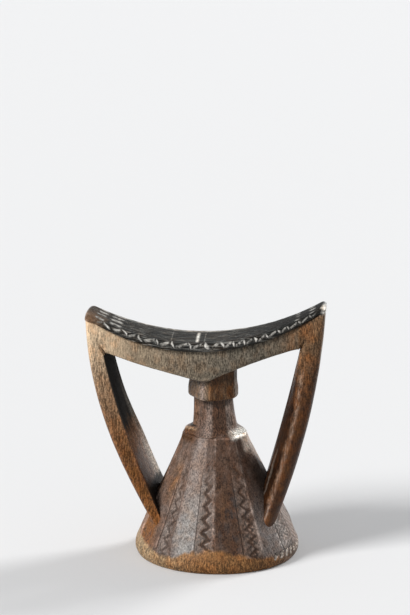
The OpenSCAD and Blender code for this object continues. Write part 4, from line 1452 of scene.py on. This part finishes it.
class HEADREST_OT_stage(bpy.types.Operator):
    """Lay the plain pale floor, hang the soft studio lights and set the camera"""
    bl_idname = "headrest.stage"
    bl_label = "Stage"

    camera_at = (0.10351, -1.19544, 0.4038)
    camera_turn = (math.radians(90 - 10.967), 0.0, math.radians(5))
    camera_lens = 105.05
    camera_sees = 200.0
    floor_reach = 40.0
    floor_roughness = 0.9

    # The floor and the room are plain and pale for the camera, and light the object less
    floor_lit = 0.45
    room_colour = (0.95, 0.97, 1.0, 1.0)
    room_light, room_shown = 0.30, 0.84

    # Lamps: turn round the object and height in degrees, strength and softness
    lamps = {"key front left": (-54, 36, 2.7, 22), "rim back right": (132, 34, 1.6, 18)}

    def execute(self, context):
        scene = context.scene
        scene.view_settings.view_transform = "Standard"
        self.lay_floor(scene)
        self.light_room(scene)
        for name, values in self.lamps.items():
            self.lamp(name, *values)
        camera = bpy.data.cameras.new("camera")
        camera.lens = self.camera_lens
        camera.clip_end = self.camera_sees
        view = bpy.data.objects.new("camera", camera)
        view.location = self.camera_at
        view.rotation_euler = self.camera_turn
        scene.collection.objects.link(view)
        scene.camera = view
        return {"FINISHED"}

    def seen(self, tree):
        """1 for what the camera, a reflection or clear glass shows, 0 for light on the object."""
        rays = tree.nodes.new("ShaderNodeLightPath")
        names = ("Is Camera Ray", "Is Glossy Ray", "Is Transmission Ray")
        camera, glossy, clear = (Field(rays.outputs[name]) for name in names)
        return camera.at_least(glossy).at_least(clear)

    def lay_floor(self, scene):
        """The plain pale floor, which the headrest's shadow falls on."""
        mesh = bpy.data.meshes.new("floor")
        reach = self.floor_reach
        corners = [(-reach, -reach, 0), (reach, -reach, 0), (reach, reach, 0), (-reach, reach, 0)]
        mesh.from_pydata(corners, [], [(0, 1, 2, 3)])
        floor = bpy.data.objects.new("floor", mesh)
        scene.collection.objects.link(floor)
        material = bpy.data.materials.new("pale floor")
        material.use_nodes = True
        tree = material.node_tree
        shader = tree.nodes["Principled BSDF"]
        pale = scene.headrest_colours.floor
        tone = tint(pale * self.floor_lit, pale, self.seen(tree))
        tree.links.new(tone.socket, shader.inputs["Base Color"])
        shader.inputs["Roughness"].default_value = self.floor_roughness
        mesh.materials.append(material)

    def light_room(self, scene):
        """The even light from all round."""
        world = bpy.data.worlds.new("studio")
        world.use_nodes = True
        scene.world = world
        tree = world.node_tree
        tree.nodes.clear()
        strength = self.room_light + self.seen(tree) * (self.room_shown - self.room_light)
        values = {"Color": self.room_colour, "Strength": strength}
        background = node(tree, "ShaderNodeBackground", {}, values)
        tree.links.new(background.socket, tree.nodes.new("ShaderNodeOutputWorld").inputs["Surface"])

    def lamp(self, name, turn, height, strength, softness):
        """A broad soft light that shines from a turn round the object and a height."""
        light = bpy.data.lights.new(name, "SUN")
        light.energy = strength
        light.angle = math.radians(softness)
        lamp = bpy.data.objects.new(name, light)
        lamp.location = (math.sin(math.radians(turn)), -math.cos(math.radians(turn)), 1.0)
        lamp.rotation_euler = (math.radians(90 - height), 0, math.radians(turn))
        bpy.context.scene.collection.objects.link(lamp)


STEPS = (HEADREST_OT_saddle, HEADREST_OT_frame, HEADREST_OT_collar, HEADREST_OT_neck, HEADREST_OT_skirt,
         HEADREST_OT_stage)


class HEADREST_PT_sidebar(bpy.types.Panel):
    """The headrest's steps and sizes"""
    bl_label = "Headrest"
    bl_idname = "HEADREST_PT_sidebar"
    bl_space_type = "VIEW_3D"
    bl_region_type = "UI"
    bl_category = "Headrest"

    def draw(self, context):
        for step in STEPS:
            self.layout.operator(step.bl_idname)
        for group in GROUPS:
            settings = getattr(context.scene, group)
            for key in settings.bl_rna.properties.keys():
                if key not in ("rna_type", "name"):
                    self.layout.prop(settings, key)


GROUPS = {"headrest_sizes": HeadrestSizes, "headrest_carving": HeadrestCarving,
          "headrest_colours": HeadrestColours}


def register():
    for group in (*GROUPS.values(), *STEPS, HEADREST_PT_sidebar):
        bpy.utils.register_class(group)
    for name, group in GROUPS.items():
        setattr(bpy.types.Scene, name, PointerProperty(type=group))


def unregister():
    for name in GROUPS:
        delattr(bpy.types.Scene, name)
    for group in reversed((*GROUPS.values(), *STEPS, HEADREST_PT_sidebar)):
        bpy.utils.unregister_class(group)


def main():
    register()
    for step in STEPS:
        family, action = step.bl_idname.split(".")
        getattr(getattr(bpy.ops, family), action)()


if __name__ == "__main__":
    main()
